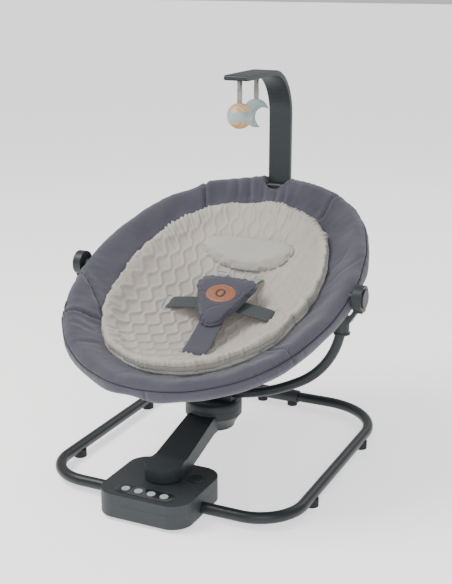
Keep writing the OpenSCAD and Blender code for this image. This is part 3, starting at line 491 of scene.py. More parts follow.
def hoopPath(count):
    # Four tangent arcs with short straights: flat arcs at the sides and tighter ones at head and foot.
    # Gives evenly spaced points, their outward directions and the distance gone.
    endR, straight = seat["endRadius"], seat["straight"]
    dx, dy = seat["halfWidth"] - endR, seat["halfLength"] - endR
    sideR = endR + (dx * dx + dy * dy - straight * straight) / (2 * dx)
    span = math.atan2(dy, sideR - seat["halfWidth"]) - math.atan2(straight, sideR - endR)
    turn = np.concatenate([np.linspace(-span, span, 400), np.linspace(span, math.pi - span, 600),
                           np.linspace(math.pi - span, math.pi + span, 400),
                           np.linspace(math.pi + span, 2 * math.pi - span, 600), [2 * math.pi - span]])
    c, s = np.cos(turn), np.sin(turn)
    ends = np.repeat([0, 1, 0, 1, 0], [400, 600, 400, 600, 1])
    x = np.where(ends, endR * c, np.sign(c) * dx + np.sign(c) * (endR - sideR) + sideR * c)
    y = np.where(ends, np.sign(s) * dy + endR * s, sideR * s)
    gone = np.concatenate([[0], np.cumsum(np.hypot(np.diff(x), np.diff(y)))])
    start = np.interp(0.0, turn[:400], gone[:400])
    length = gone[-1]
    at = (start + np.linspace(0, length, count, endpoint=False)) % length
    angle = np.interp(at, gone, turn)
    place = np.stack([np.interp(at, gone, x), np.interp(at, gone, y)], 1)
    return place, np.stack([np.cos(angle), np.sin(angle)], 1), np.linspace(0, length, count,
            endpoint=False), length


# Padded cover over the hoop

cover = {"columns": 800, "startAngle": 128, "endAngle": 112, "seamAngle": 40, "innerReach": 0.112,
         "puff": 0.0045, "fullness": 0.0012,
         "seamDepth": 0.0022, "pucker": 0.00055, "panelDepth": 0.0034, "piping": 0.0008,
         "opening": (0.0365, 0.0270),
         "openingDepth": 0.022, "footSeam": (0.016, -0.405, 0.014, -0.340, 0.0)}
# Panel seams, each from the outer edge to the inner: (across, headward) at both ends and a sideways bow
panelSeams = [(-0.182, 0.352, -0.150, 0.262, 0.0), (0.182, 0.352, 0.150, 0.262, 0.0),
              (-0.300, -0.225, -0.205, -0.180, 0.008), (0.287, -0.252, 0.186, -0.200, -0.015),
              (-0.345, -0.050, -0.212, -0.165, 0.010)]
# Loose folds: (across, headward) at both ends, depth and width
looseFolds = [(-0.072, 0.385, -0.050, 0.300, 0.0045, 0.0060), (-0.100, 0.375, -0.082, 0.300, 0.0030, 0.0065),
              (-0.030, 0.362, -0.018, 0.302, 0.0030, 0.0055), (0.006, 0.358, 0.014, 0.300, 0.0038, 0.0055),
              (0.030, 0.362, 0.036, 0.305, 0.0022, 0.0050), (0.058, 0.380, 0.058, 0.310, 0.0016, 0.0070),
              (-0.130, 0.372, -0.112, 0.305, 0.0016, 0.0080), (0.262, 0.150, 0.235, 0.060, 0.0018, 0.0060),
              (0.318, 0.120, 0.240, 0.020, 0.0022, 0.0060), (-0.250, -0.240, -0.190, -0.230, 0.0018, 0.0080),
              (-0.205, -0.300, -0.160, -0.262, 0.0020, 0.0070),
              (0.215, -0.285, 0.172, -0.240, 0.0022, 0.0070),
              (0.110, -0.352, 0.092, -0.300, 0.0016, 0.0070),
              (-0.060, -0.385, -0.052, -0.330, 0.0016, 0.0080)]


def strokeDistance(u, v, stroke):
    # Distance from each point to a line between two ends, bowed sideways by a parabola, and the share gone
    # along it
    x0, y0, x1, y1, bow = stroke
    length = math.hypot(x1 - x0, y1 - y0)
    ax, ay = (x1 - x0) / length, (y1 - y0) / length
    along = ((u - x0) * ax + (v - y0) * ay) / length
    beside = (u - x0) * -ay + (v - y0) * ax - 4 * bow * along * (1 - along)
    past = np.maximum(np.maximum(-along, along - 1), 0) * length
    return np.hypot(beside, past), along, beside


def bandGrid(cover):
    # The cross-section starts under the tube, goes round its outside and over the top, slopes inwards on to
    # the
    # dish and comes back underneath. d is the distance inwards from the tube's centreline, and t the way
    # along
    # the cloth; the last value given back is the way to the inner edge of the upper side.
    place, outward, gone, length = hoopPath(cover["columns"])
    r = rim["radius"]
    arc = np.radians(np.linspace(-cover["startAngle"], cover["endAngle"], 56))
    slope = np.linspace(0.0095, cover["innerReach"], 50)[1:]
    under = np.array([0.112, 0.100, 0.080, 0.060, 0.045, 0.034, 0.026, 0.020])
    d = np.concatenate([-r * np.cos(arc), slope, under])
    free = np.concatenate([r * np.sin(arc),
                           np.interp(slope, [0.0082, 0.015, 0.022, 0.031, 0.040, 0.058, 0.075, 0.112],
                                     [0.0204, 0.0172, 0.0128, 0.0068, 0.0008, -0.0105, -0.0205, -0.040]),
                           np.interp(under, [0.020, 0.026, 0.034, 0.045],
                                     [-0.0145, -0.011, -0.0075, -0.006])])
    onDish = np.concatenate([arc * 0, smoothStep(slope, 0.034, 0.072), smoothStep(under, 0.026, 0.045)])
    above = np.concatenate([arc * 0, 0.0008 + cover["puff"] * bell(slope - 0.050, 0.024), under * 0 - 0.0034])
    u = place[None, :, 0] - outward[None, :, 0] * d[:, None]
    v = place[None, :, 1] - outward[None, :, 1] * d[:, None]
    w = free[:, None] * (1 - onDish[:, None]) + (dishHeight(u, v) + above[:, None]) * onDish[:, None]
    t = np.concatenate([r * (arc - arc[0]), r * (arc[-1] - arc[0]) + (slope - 0.0095) * 1.15,
                        r * (arc[-1] - arc[0]) + 0.118 + (0.112 - under)])
    return np.stack([u, v, w], 2), gone, length, t, t[len(arc) + len(slope) - 1]


def coverRelief(points, gone, length, t, innerT, cover):
    u, v = points[..., 0], points[..., 1]
    s, t2 = np.broadcast_arrays(gone[None, :], t[:, None])
    r = rim["radius"]
    seamT = r * math.radians(cover["startAngle"] + cover["seamAngle"])
    top = smoothStep(t2, r * math.radians(100),
                     r * math.radians(135)) * (1 - smoothStep(t2, innerT - 0.01, innerT))
    relief = cover["fullness"] * softWaves(s, length, t2, 0.24, 5, 14, 5, 26, 3) * smoothStep(t2, 0.0, 0.03)
    relief += 0.14 * cover["fullness"] * softWaves(s, length, t2, 0.24, 9, 18, 30, 90, 5) * top
    # sewn binding: a groove with a raised lip on both sides, and short gathers that die away from it
    off = t2 - seamT
    relief -= cover["seamDepth"] * bell(off, 0.0014)
    relief += 0.45 * cover["seamDepth"] * (bell(off - 0.0042, 0.0026) + bell(off + 0.0042, 0.0026))
    gathers = softWaves(s, length, t2, 0.24, 21, 16, 110, 230,
                        0) * (0.6 + 0.5 * softWaves(s, length, t2, 0.24, 3, 5, 2, 7, 0))
    gathers = gathers * (0.3 + 0.9 * smoothStep(-v, 0.16, 0.32) + 0.4 * smoothStep(v, 0.28, 0.36))
    relief += cover["pucker"] * gathers * np.exp(-np.abs(off) / 0.008) * np.tanh(np.abs(off) / 0.0012)
    for stroke in panelSeams:
        gap, along, _ = strokeDistance(u, v, stroke)
        relief -= cover["panelDepth"] * bell(gap, 0.0034) * top
        relief += 0.5 * cover["panelDepth"] * (bell(gap - 0.010, 0.0075)) * top
        relief += 0.0004 * np.sin(along * 55) * bell(gap, 0.007) * top
    outside = 1 - smoothStep(t2, seamT - 0.003, seamT)
    relief -= cover["panelDepth"] * bell(strokeDistance(u, v, cover["footSeam"])[0], 0.0022) * outside
    relief += 0.0035 * bell(np.hypot(u - 0.232, v + 0.262), 0.024) * top
    for x0, y0, x1, y1, depth, width in looseFolds:
        gap, along, beside = strokeDistance(u, v, (x0, y0, x1, y1, 0.002))
        ease = np.sin(np.clip(along, 0, 1) * math.pi) ** 0.6
        relief += depth * ease * (0.45 * bell(beside - 1.6 * width, width * 1.3)
                                  - bell(gap, width * 0.95)) * top
    return relief


def openBarSlot(points, top, cover):
    # Inside an oval round the toy bar the fabric drops into a pocket; it starts at the oval's edge
    row = toRow(points)
    halfX, halfY = cover["opening"]
    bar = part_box("toy_bar_socket")
    middle = (bar[0].y + bar[1].y) / 2 - 0.006
    far = np.hypot(row[..., 0] / halfX, (row[..., 1] - middle) / halfY)
    inside = (1 - smoothStep(far, 0.72, 1.0)) * top
    row[..., 2] -= cover["openingDepth"] * inside
    row[..., 2] += 0.0016 * bell(far - 1.07, 0.07) * top
    return row


def makeCover():
    points, gone, length, t, innerT = bandGrid(cover)
    seatNormals = gridNormals(points, closeRows=True)
    relief = coverRelief(points, gone, length, t, innerT, cover)
    points = points + seatNormals * relief[..., None]
    top = np.broadcast_to(smoothStep(t, 0.050, 0.058)[:, None] * (t < innerT)[:, None], points.shape[:2])
    row = openBarSlot(points, top, cover)
    cloth = np.stack(np.broadcast_arrays(gone[None, :], t[:, None]), 2)
    band = gridPiece("seat_cover_band", row, [coverTwill], cloth, closeRows=True)
    seamRow = int(np.argmin(np.abs(t - rim["radius"]
                                   * math.radians(cover["startAngle"] + cover["seamAngle"]))))
    out = gridNormals(row, closeRows=True)
    path = row[seamRow] + out[seamRow] * cover["piping"] * 0.3
    lines = [sweepPiece("binding_piping", path, out[seamRow], roundProfile(cover["piping"], 8), [threadDark],
                        closed=True)]
    # Each panel seam follows the nearest points of the band's upper side, smoothed
    upper = np.flatnonzero((t > t[seamRow]) & (t < innerT))
    plan, high, lean = points[upper, :, :2].reshape(-1, 2), row[upper].reshape(-1, 3), out[upper].reshape(-1,
            3)
    for number, (x0, y0, x1, y1, bow) in enumerate(panelSeams):
        share = np.linspace(0.06, 0.97, 60)
        length = math.hypot(x1 - x0, y1 - y0)
        side = 4 * bow * share * (1 - share)
        wanted = np.stack([x0 + (x1 - x0) * share - (y1 - y0) / length * side,
                           y0 + (y1 - y0) * share + (x1 - x0) / length * side], 1)
        near = np.linalg.norm(wanted[:, None] - plan[None], axis=2)
        kept = near.min(1) < 0.004
        at = near.argmin(1)[kept]
        line, up = high[at], lean[at]
        for _ in range(12):
            line[1:-1] = (line[:-2] + 2 * line[1:-1] + line[2:]) / 4
        line = splinePoints(line[::4] + up[::4] * 0.0001, 60)
        lines.append(sweepPiece(f"panel_seam_{number}", line, up.mean(0),
                                roundProfile(cover["piping"] * 0.8, 8), [threadDark]))
    return band, lines


coverBand, coverLines = makeCover()
for one in coverLines:
    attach(one, "seat")
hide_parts("seat_cover_rim")
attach(coverBand, "seat")
print("cover band")

# Fabric sling under the liner

sling = {"columns": 360, "rows": 46, "wall": 0.0028, "inset": 0.024}


def makeSling():
    # The dish's own shape at two heights, joined at its edge; a welt stands where it is sewn to the band
    place, outward, gone, length = hoopPath(sling["columns"])
    edge = place - outward * sling["inset"]
    share = np.sin(np.linspace(0, 1, sling["rows"])[1:] * math.pi / 2)[:, None]
    plan = edge[None] * share[..., None]
    high = dishHeight(plan[..., 0], plan[..., 1])
    radius = share * np.linalg.norm(edge, axis=1)[None]
    hang = smoothStep(share, 0.93, 1.0) * 0.0075
    welt = 0.0016 * bell((1 - share) * 0.33 - 0.010, 0.003)
    s = np.broadcast_to(gone[None], radius.shape)
    ripples = 0.0009 * softWaves(s, length, radius, 0.4, 31, 12, 6, 30, 2) * smoothStep(share, 0.1, 0.5)
    upper = np.stack([plan[..., 0], plan[..., 1], high - 0.0042 - hang], 2)
    lower = np.stack([plan[..., 0], plan[..., 1], high - 0.0042 - sling["wall"] - hang - welt + ripples], 2)
    lower[..., 2] = np.minimum(lower[..., 2], upper[..., 2] - 0.0012)
    points = np.concatenate([upper, lower[::-1]])
    cloth = np.concatenate([plan, plan[::-1]])
    return gridPiece("seat_sling", toRow(points), [slingTwill], cloth, poles=(True, True))


seatSling = makeSling()
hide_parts("seat_cover_bowl")
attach(seatSling, "seat")
print("sling")

# Quilted liner

liner = {"columns": 620, "halfWidth": 0.236, "halfLength": 0.318, "headLength": 0.292, "lift": 0.0013,
         "thick": 0.014,
         "cell": 0.021, "cellLength": 0.054, "cellWave": 0.0062, "stitch": 0.0036, "gather": 0.0014,
         "edgeWidth": 0.056, "rise": (1.5, 1.5), "seamRow": 20, "piping": 0.0008}
# Notches between the lobes of its edge: plan angle in degrees, depth and half width in metres
linerNotches = [(6, 0.004, 0.010), (-9.5, 0.014, 0.010), (-24, 0.014, 0.011), (-48, 0.005, 0.010),
                (-71, 0.014, 0.012), (28, 0.004, 0.012),
                (52, 0.004, 0.012), (76, 0.003, 0.010), (96, 0.006, 0.012), (112, 0.004, 0.011),
                (125, 0.005, 0.010),
                (136, 0.0045, 0.010), (146, 0.006, 0.010), (155, 0.005, 0.009), (164.5, 0.0065, 0.010),
                (174, 0.005, 0.009),
                (184, 0.0065, 0.010), (193, 0.005, 0.009), (202.5, 0.007, 0.010), (212, 0.005, 0.010),
                (223, 0.0065, 0.010),
                (236, 0.005, 0.011), (252, 0.004, 0.012)]


def linerEdge(liner):
    turn = np.linspace(0, 2 * math.pi, liner["columns"], endpoint=False)
    c, s = np.cos(turn), np.sin(turn)
    power = 2 / dish["round"]
    edge = np.stack([liner["halfWidth"] * np.sign(c) * np.abs(c) ** power,
                     np.where(s > 0, liner["headLength"], liner["halfLength"]) * np.sign(s)
                     * np.abs(s) ** power], 1)
    radius = np.linalg.norm(edge, axis=1)
    bearing = np.degrees(np.arctan2(edge[:, 1], edge[:, 0]))
    gone = np.concatenate([[0], np.cumsum(np.linalg.norm(np.diff(edge, axis=0), axis=1))])
    crease = np.zeros_like(radius)
    drawn = np.zeros_like(radius)
    for angle, depth, width in linerNotches:
        away = np.radians((bearing - angle + 180) % 360 - 180) * radius
        drawn += depth * np.exp(-np.abs(away) / width)
        crease += depth / 0.012 * bell(away, 0.0055)
    return edge, radius, gone, drawn, crease


def makeLiner():
    # Inner rows follow the dish; the outer rows climb into a rolled edge, turn over the seam and come back
    # below
    edge, radius, gone, drawn, crease = linerEdge(liner)
    length = gone[-1] + gone[1]
    edge = edge * (1 + (0.003 - drawn) / radius)[:, None]
    radius = np.linalg.norm(edge, axis=1)
    top = liner["lift"] + liner["thick"]
    wide = liner["edgeWidth"]
    inner = np.linspace(0, 1, 76)[1:]
    roll = np.array([(-0.053, 0), (-0.050, 0), (-0.047, .0002), (-0.044, .0006), (-0.041, .0011),
                     (-0.038, .0017),
                     (-0.035, .0024), (-0.032, .0033), (-0.029, .0043), (-0.026, .0054), (-0.0235, .0063),
                     (-0.021, .0071), (-0.0185, .0078), (-0.016, .0083), (-0.0135, .0086), (-0.011, .0086),
                     (-0.0088, .0083), (-0.0068, .0076), (-0.0050, .0066), (-0.0036, .0053), (-0.0026, .0038),
                     (-0.0020, .0022), (-0.0018, .0006), (-0.0024, -.0008), (-0.0030, -.0016),
                     (-0.0018, -.0026),
                     (-0.0008, -.0040), (0.0000, -.0056), (0.0003, -.0072), (0.0000, -.0088),
                     (-0.0012, -.0106),
                     (-0.0034, -.0124), (-0.0066, -.0138)])
    below = np.array([(-0.014, -.014), (-0.030, -.014), (-0.056, -.014)])
    outer = np.concatenate([roll, below])
    shareIn = inner[:, None] * (1 - wide / radius)[None]
    shareOut = 1 + outer[:, :1] / radius[None]
    shareUnder = np.array([0.6, 0.4, 0.2])[:, None] * np.ones_like(radius)[None]
    share = np.concatenate([shareIn, shareOut, shareUnder])
    lift = np.concatenate([np.zeros(len(inner)), outer[:, 1], np.full(3, -0.014)])[:,
            None] * np.ones_like(radius)[None]
    bearing = np.arctan2(edge[:, 1], edge[:, 0])
    rise = liner["rise"][0] + liner["rise"][1] * bell(bearing + 1.15, 1.15)
    lift = np.where(lift > 0, lift * rise[None], lift)
    plan = edge[None] * share[..., None]
    u, v = plan[..., 0], plan[..., 1]
    rows = len(share)
    seamRow = len(inner) + 24
    inward = radius[None] * (1 - share)
    topSide = np.zeros(rows)
    topSide[:seamRow] = 1
    near = np.exp(-np.maximum(inward, 0) / 0.030)
    w = dishHeight(u, v) + top + lift
    s = np.broadcast_to(gone[None], u.shape)
    # ogee quilting: neighbouring stitch lines wave in opposite ways
    column = u / liner["cell"]
    cellAt = np.floor(column)
    sway = liner["cellWave"] * np.sin(2 * math.pi * v / liner["cellLength"])
    parity = np.where(cellAt % 2 == 0, 1, -1)
    toLeft = np.abs(u - cellAt * liner["cell"] - parity * sway)
    toRight = np.abs((cellAt + 1) * liner["cell"] - parity * sway - u)
    gap = np.minimum(toLeft, toRight)
    quilt = -liner["stitch"] * (0.75 * bell(gap, 0.0026) + 0.45 * bell(gap, 0.006))
    quilt = quilt * (1 - 0.55 * near)
    ridges = softWaves(s, length, inward, 0.9, 41, 14, 120, 175, 4)
    gathers = liner["gather"] * ridges * near * (0.75 + 0.4 * softWaves(s, length, inward, 0.9, 43, 6, 3, 9,
            0))
    headRight = bell(np.arctan2(v, u) - 0.75, 0.6)
    gathers = gathers * (0.8 + 1.1 * headRight)
    broad = 0.0016 * softWaves(s, length, inward, 0.9, 47, 10, 4, 14, 2) * near
    folds = -0.0055 * crease[None] * np.exp(-np.maximum(inward - 0.012, 0) / 0.020)
    relief = (quilt + gathers + broad) * np.where(topSide[:, None] > 0, 1, 0.45) + folds * 0.8
    relief[-6:] = 0
    points = np.stack([u, v, w], 2)
    points = points + gridNormals(points) * relief[..., None]
    points[-6:, :, 2] = np.minimum(points[-6:, :, 2], (dishHeight(u, v) + liner["lift"])[-6:])
    pick = np.broadcast_to((np.arange(rows) >= seamRow)[:, None].astype(int), u.shape)
    cloth = np.stack([u, v + lift], 2)
    row = toRow(points)
    piece = gridPiece("quilted_liner", row, [linerJersey, linerBacking], cloth, poles=(True, True), pick=pick)
    out = gridNormals(row)[len(inner) + liner["seamRow"]]
    path = row[len(inner) + liner["seamRow"]] + out * liner["piping"] * 0.2
    return piece, sweepPiece("liner_piping", path, out, roundProfile(liner["piping"], 8), [threadStone],
                             closed=True)


quiltedLiner, linerPiping = makeLiner()
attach(linerPiping, "seat")
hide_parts("seat_liner")
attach(quiltedLiner, "seat")
print("liner")

# Filled pieces: remesh, cloth pressure, then seams


def evaluated(piece):
    return bpy.data.meshes.new_from_object(piece.evaluated_get(bpy.context.evaluated_depsgraph_get()))


def readPoints(mesh):
    points = np.zeros(len(mesh.vertices) * 3, np.float32)
    mesh.vertices.foreach_get("co", points)
    return points.reshape(-1, 3).astype(float)


def fillPiece(piece, fill):
    # Even small faces, then gas pressure inside without gravity. A point may move at most the cap.
    name, materials = piece.name, list(piece.data.materials)
    remesh = piece.modifiers.new("remesh", "REMESH")
    remesh.mode, remesh.voxel_size = "VOXEL", fill["voxel"]
    mesh = evaluated(piece)
    bpy.data.objects.remove(piece)
    made = finishMesh(name, mesh, [])
    start = readPoints(mesh)
    cloth = made.modifiers.new("cloth", "CLOTH")
    cloth.settings.quality = 6
    cloth.settings.mass = 0.25
    cloth.settings.tension_stiffness = cloth.settings.compression_stiffness = fill["stiffness"]
    cloth.settings.shear_stiffness = fill["stiffness"] / 2
    cloth.settings.bending_stiffness = 0.6
    cloth.settings.use_pressure = True
    cloth.settings.uniform_pressure_force = fill["pressure"]
    cloth.settings.effector_weights.gravity = 0
    for step in range(1, 21):
        bpy.context.scene.frame_set(step)
    swollen = evaluated(made)
    moved = readPoints(swollen) - start
    far = np.linalg.norm(moved, axis=1, keepdims=True)
    start = start + moved * np.minimum(1, fill["cap"] / np.maximum(far, 1e-9))
    made.modifiers.clear()
    bpy.context.scene.frame_set(1)
    mesh.vertices.foreach_set("co", start.astype(np.float32).ravel())
    smooth = made.modifiers.new("smooth", "SUBSURF")
    smooth.levels = smooth.render_levels = 1
    finer = evaluated(made)
    made.modifiers.clear()
    made.data = finer
    finer.materials.clear()
    for one in materials:
        finer.materials.append(one)
    finer.shade_smooth()
    return made


def movePoints(piece, change):
    # change takes points and normals and gives the new points
    mesh = piece.data
    points = readPoints(mesh)
    normals = np.zeros(len(points) * 3, np.float32)
    mesh.vertices.foreach_get("normal", normals)
    changed = change(points, normals.reshape(-1, 3).astype(float))
    mesh.vertices.foreach_set("co", changed.astype(np.float32).ravel())
    mesh.update()


def stitchRow(name, path, lifted, stitch, material, closed=True):
    # Short capsules lie end to end along a path: each ring of a capsule is a circle that narrows at its ends
    path = np.asarray(path, float)
    line = np.concatenate([path, path[:1]]) if closed else path
    gone = np.concatenate([[0], np.cumsum(np.linalg.norm(np.diff(line, axis=0), axis=1))])
    count = max(2, int(gone[-1] / stitch["pitch"]))
    at = (np.arange(count) + 0.5) * gone[-1] / count

    def sample(where):
        return np.stack([np.interp(where % gone[-1] if closed else where, gone, line[:, c])
                         for c in range(3)], 1)

    half = stitch["length"] / 2
    first, last = sample(at - half * 0.9), sample(at + half * 0.9)
    middle, ahead = (first + last) / 2, last - first
    ahead = ahead / np.linalg.norm(ahead, axis=1, keepdims=True)
    lift = lifted(middle) if callable(lifted) else np.broadcast_to(np.asarray(lifted, float), middle.shape)
    side = np.cross(ahead, lift)
    side = side / np.linalg.norm(side, axis=1, keepdims=True)
    lift = np.cross(side, ahead)
    rings = np.array([(-1.0, 0.35), (-0.75, 0.85), (0.0, 1.0), (0.75, 0.85), (1.0, 0.35)])
    turn = np.linspace(0, 2 * math.pi, 6, endpoint=False)
    along = ahead[:, None, None] * (rings[:, 0] * half)[None, :, None, None]
    arch = (1 - rings[:, 0] ** 2) * stitch["radius"] * 0.6
    around = side[:, None, None] * np.cos(turn)[None, None, :, None] + lift[:, None,
            None] * np.sin(turn)[None, None, :, None]
    points = middle[:, None, None] + along + around * (rings[:, 1] * stitch["radius"])[None, :, None, None]
    points = points + lift[:, None, None] * (arch + stitch.get("raise", 0))[None, :, None, None]
    base = np.arange(count)[:, None] * 30
    i, j = np.meshgrid(np.arange(4), np.arange(6), indexing="ij")
    i, j = i.ravel(), j.ravel()
    on = (j + 1) % 6
    quads = np.stack([i * 6 + j, i * 6 + on, (i + 1) * 6 + on, (i + 1) * 6 + j], 1)
    faces = (quads[None] + base[:, None]).reshape(-1, 4).tolist()
    caps = [list(start + np.arange(5, -1, -1)) for start in base[:, 0]] + [list(start + 24 + np.arange(6))
            for start in base[:, 0]]
    mesh = bpy.data.meshes.new(name)
    mesh.from_pydata(points.reshape(-1, 3).tolist(), [], faces + [[int(k) for k in cap] for cap in caps])
    mesh.update()
    return finishMesh(name, mesh, [material])


def linerTop(u, v):
    return dishHeight(u, v) + liner["lift"] + liner["thick"]


# Head pillow

pillow = {"halfWidth": 0.118, "halfLength": 0.043, "headward": 0.162, "thick": 0.019, "seam": 0.0012}
pillowFill = {"voxel": 0.0045, "pressure": 4.0, "stiffness": 12, "cap": 0.006}


def makePillow():
    # Two crowned faces over a superellipse meet at a sewn edge below the middle of its thickness
    turn = np.linspace(0, 2 * math.pi, 160, endpoint=False)
    c, s = np.cos(turn), np.sin(turn)
    edge = np.stack([pillow["halfWidth"] * np.sign(c) * np.abs(c) ** 0.86,
                     pillow["halfLength"] * np.sign(s) * np.abs(s) ** 0.86], 1)
    share = np.sin(np.linspace(0, 1, 26)[1:] * math.pi / 2)[:, None]
    plan = edge[None] * share[..., None] + [0, pillow["headward"]]
    under = linerTop(plan[..., 0], plan[..., 1]) + 0.0012
    middle = under + 0.42 * pillow["thick"]
    upper = middle + 0.58 * pillow["thick"] * (1 - share ** 3.2) ** 0.62
    lower = middle - 0.40 * pillow["thick"] * (1 - share ** 6) ** 0.5
    points = np.concatenate([np.stack([plan[..., 0], plan[..., 1], upper], 2),
                             np.stack([plan[..., 0], plan[..., 1], lower], 2)[::-1]])
    piece = fillPiece(gridPiece("head_pillow_fill", toRow(points), [pillowJersey], poles=(True, True)),
                      pillowFill)

    def sew(points, normals):
        back = fromRow(points)
        x, y = back[:, 0] / pillow["halfWidth"], (back[:, 1] - pillow["headward"]) / pillow["halfLength"]
        far, bearing = np.hypot(x, y), np.arctan2(y, x)
        height = back[:, 2] - linerTop(back[:, 0], back[:, 1]) - 0.0012 - 0.42 * pillow["thick"]
        near = smoothStep(far, 0.8, 0.97)
        groove = -pillow["seam"] * bell(height, 0.0013) * near
        gathers = 0.0007 * softWaves(bearing, 2 * math.pi, 0 * far, 1, 61, 12, 30, 60, 0) * bell(height,
                0.006) * smoothStep(far, 0.72, 0.97)
        dimple = -0.0030 * bell(np.hypot(x * 1.3, y * 1.5), 0.55) * (height > 0)
        return points + normals * (groove + gathers + dimple)[:, None]

    movePoints(piece, sew)
    return piece


headPillow = makePillow()
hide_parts("head_pillow")
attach(headPillow, "seat")
print("head pillow")

# Crotch pad, its badge and stitching

pad = {"place": (0.0, -0.010), "above": 0.060, "tilt": math.radians(11), "thick": 0.014, "border": 0.0075,
       "borderDepth": 0.0019, "corners": [(-0.047, 0.044, 0.031), (0.047, 0.044, 0.031), (0.0, -0.042, 0.038),
                   (-0.010, 0.004, 0.053), (0.010, 0.004, 0.053)]}
padFill = {"voxel": 0.0034, "pressure": 4.5, "stiffness": 14, "cap": 0.004}
badge = {"halfLength": 0.0370, "halfWidth": 0.0262, "headward": 0.012, "thick": 0.0024}


def padToRow(points):
    # The pad's own frame stands on the seat's, turned a little more about X
    c, s = math.cos(pad["tilt"]), math.sin(pad["tilt"])
    x, y, z = points[..., 0], points[..., 1], points[..., 2]
    high = float(linerTop(0.0, 0.0)) + pad["above"]
    return toRow(np.stack([x, pad["place"][1] + y * c - z * s, high + y * s + z * c], -1))


def padFromRow(points):
    back = fromRow(points) - [0, pad["place"][1], float(linerTop(0.0, 0.0)) + pad["above"]]
    c, s = math.cos(pad["tilt"]), math.sin(pad["tilt"])
    return np.stack([back[..., 0], back[..., 1] * c + back[..., 2] * s,
                     -back[..., 1] * s + back[..., 2] * c], -1)


def padOutline(count, inset=0.0):
    # The edge of a band stretched round three discs, evenly spaced and eased at its corners
    turn = np.linspace(0, 2 * math.pi, 1440, endpoint=False)
    normal = np.stack([np.cos(turn), np.sin(turn)], 1)
    discs = np.array(pad["corners"])
    reach = normal @ discs[:, :2].T + discs[:, 2]
    chosen = discs[reach.argmax(1)]
    edge = chosen[:, :2] + normal * (chosen[:, 2:] - inset)
    line = np.concatenate([edge, edge[:1]])
    gone = np.concatenate([[0], np.cumsum(np.linalg.norm(np.diff(line, axis=0), axis=1))])
    at = np.linspace(0, gone[-1], count, endpoint=False)
    even = np.stack([np.interp(at, gone, line[:, c]) for c in (0, 1)], 1)
    for _ in range(count // 40):
        even = (np.roll(even, 1, 0) + 2 * even + np.roll(even, -1, 0)) / 4
    return even


def makePad():
    # Crowned above and flatter below, from the outline shrunk towards the middle
    edge = padOutline(200, 0.001)
    share = np.sin(np.linspace(0, 1, 22)[1:] * math.pi / 2)[:, None]
    plan = edge[None] * share[..., None]
    upper = 0.5 * pad["thick"] * (1 - share ** 3.5) ** 0.5 + 0 * plan[..., 0]
    lower = -0.46 * pad["thick"] * (1 - share ** 7) ** 0.5 + 0 * plan[..., 0]
    points = np.concatenate([np.stack([plan[..., 0], plan[..., 1], upper], 2),
                             np.stack([plan[..., 0], plan[..., 1], lower], 2)[::-1]])
    piece = fillPiece(gridPiece("crotch_pad_fill", padToRow(points), [padTwill], poles=(True, True)), padFill)
    border = padOutline(400, pad["border"])

    def sew(points, normals):
        flat = padFromRow(points)
        gap = np.sqrt(((flat[:, None, :2] - border[None, ::2]) ** 2).sum(2)).min(1)
        radial = np.linalg.norm(flat[:, :2], axis=1)
        bearing = np.arctan2(flat[:, 1], flat[:, 0])
        above = flat[:, 2] > -0.001
        groove = -pad["borderDepth"] * bell(gap, 0.0017) * above
        rows = 0.0006 * softWaves(bearing, 2 * math.pi, radial, 1, 71, 12, 24, 44, 0) * bell(gap - 0.003,
                0.0045) * above
        creases = -0.0011 * sum(bell(strokeDistance(flat[:, 0], flat[:, 1], one)[0], 0.0028) for one in
                                [(-0.055, 0.012, -0.022, 0.006, 0.002), (0.050, 0.030, 0.040, 0.000, 0.003),
                                 (-0.018, -0.040, 0.006, -0.022, 0.002),
                                 (0.060, 0.020, 0.046, -0.010, 0.002)]) * above
        return points + normals * (groove + rows + creases)[:, None]

    movePoints(piece, sew)
    return piece


def surfaceUnder(piece):
    # Height of the piece's upper side at points in the pad's own plane, by casting straight down
    tree = piece.evaluated_get(bpy.context.evaluated_depsgraph_get())
    down = Vector(padToRow(np.array([0.0, 0.0, -1.0])) - padToRow(np.array([0.0, 0.0, 0.0])))

    def height(flat):
        start = padToRow(np.concatenate([flat, np.full((len(flat), 1), 0.05)], 1))
        found = [tree.ray_cast(Vector(p), down)[1] for p in start]
        return padFromRow(np.array(found))[:, 2]

    return height


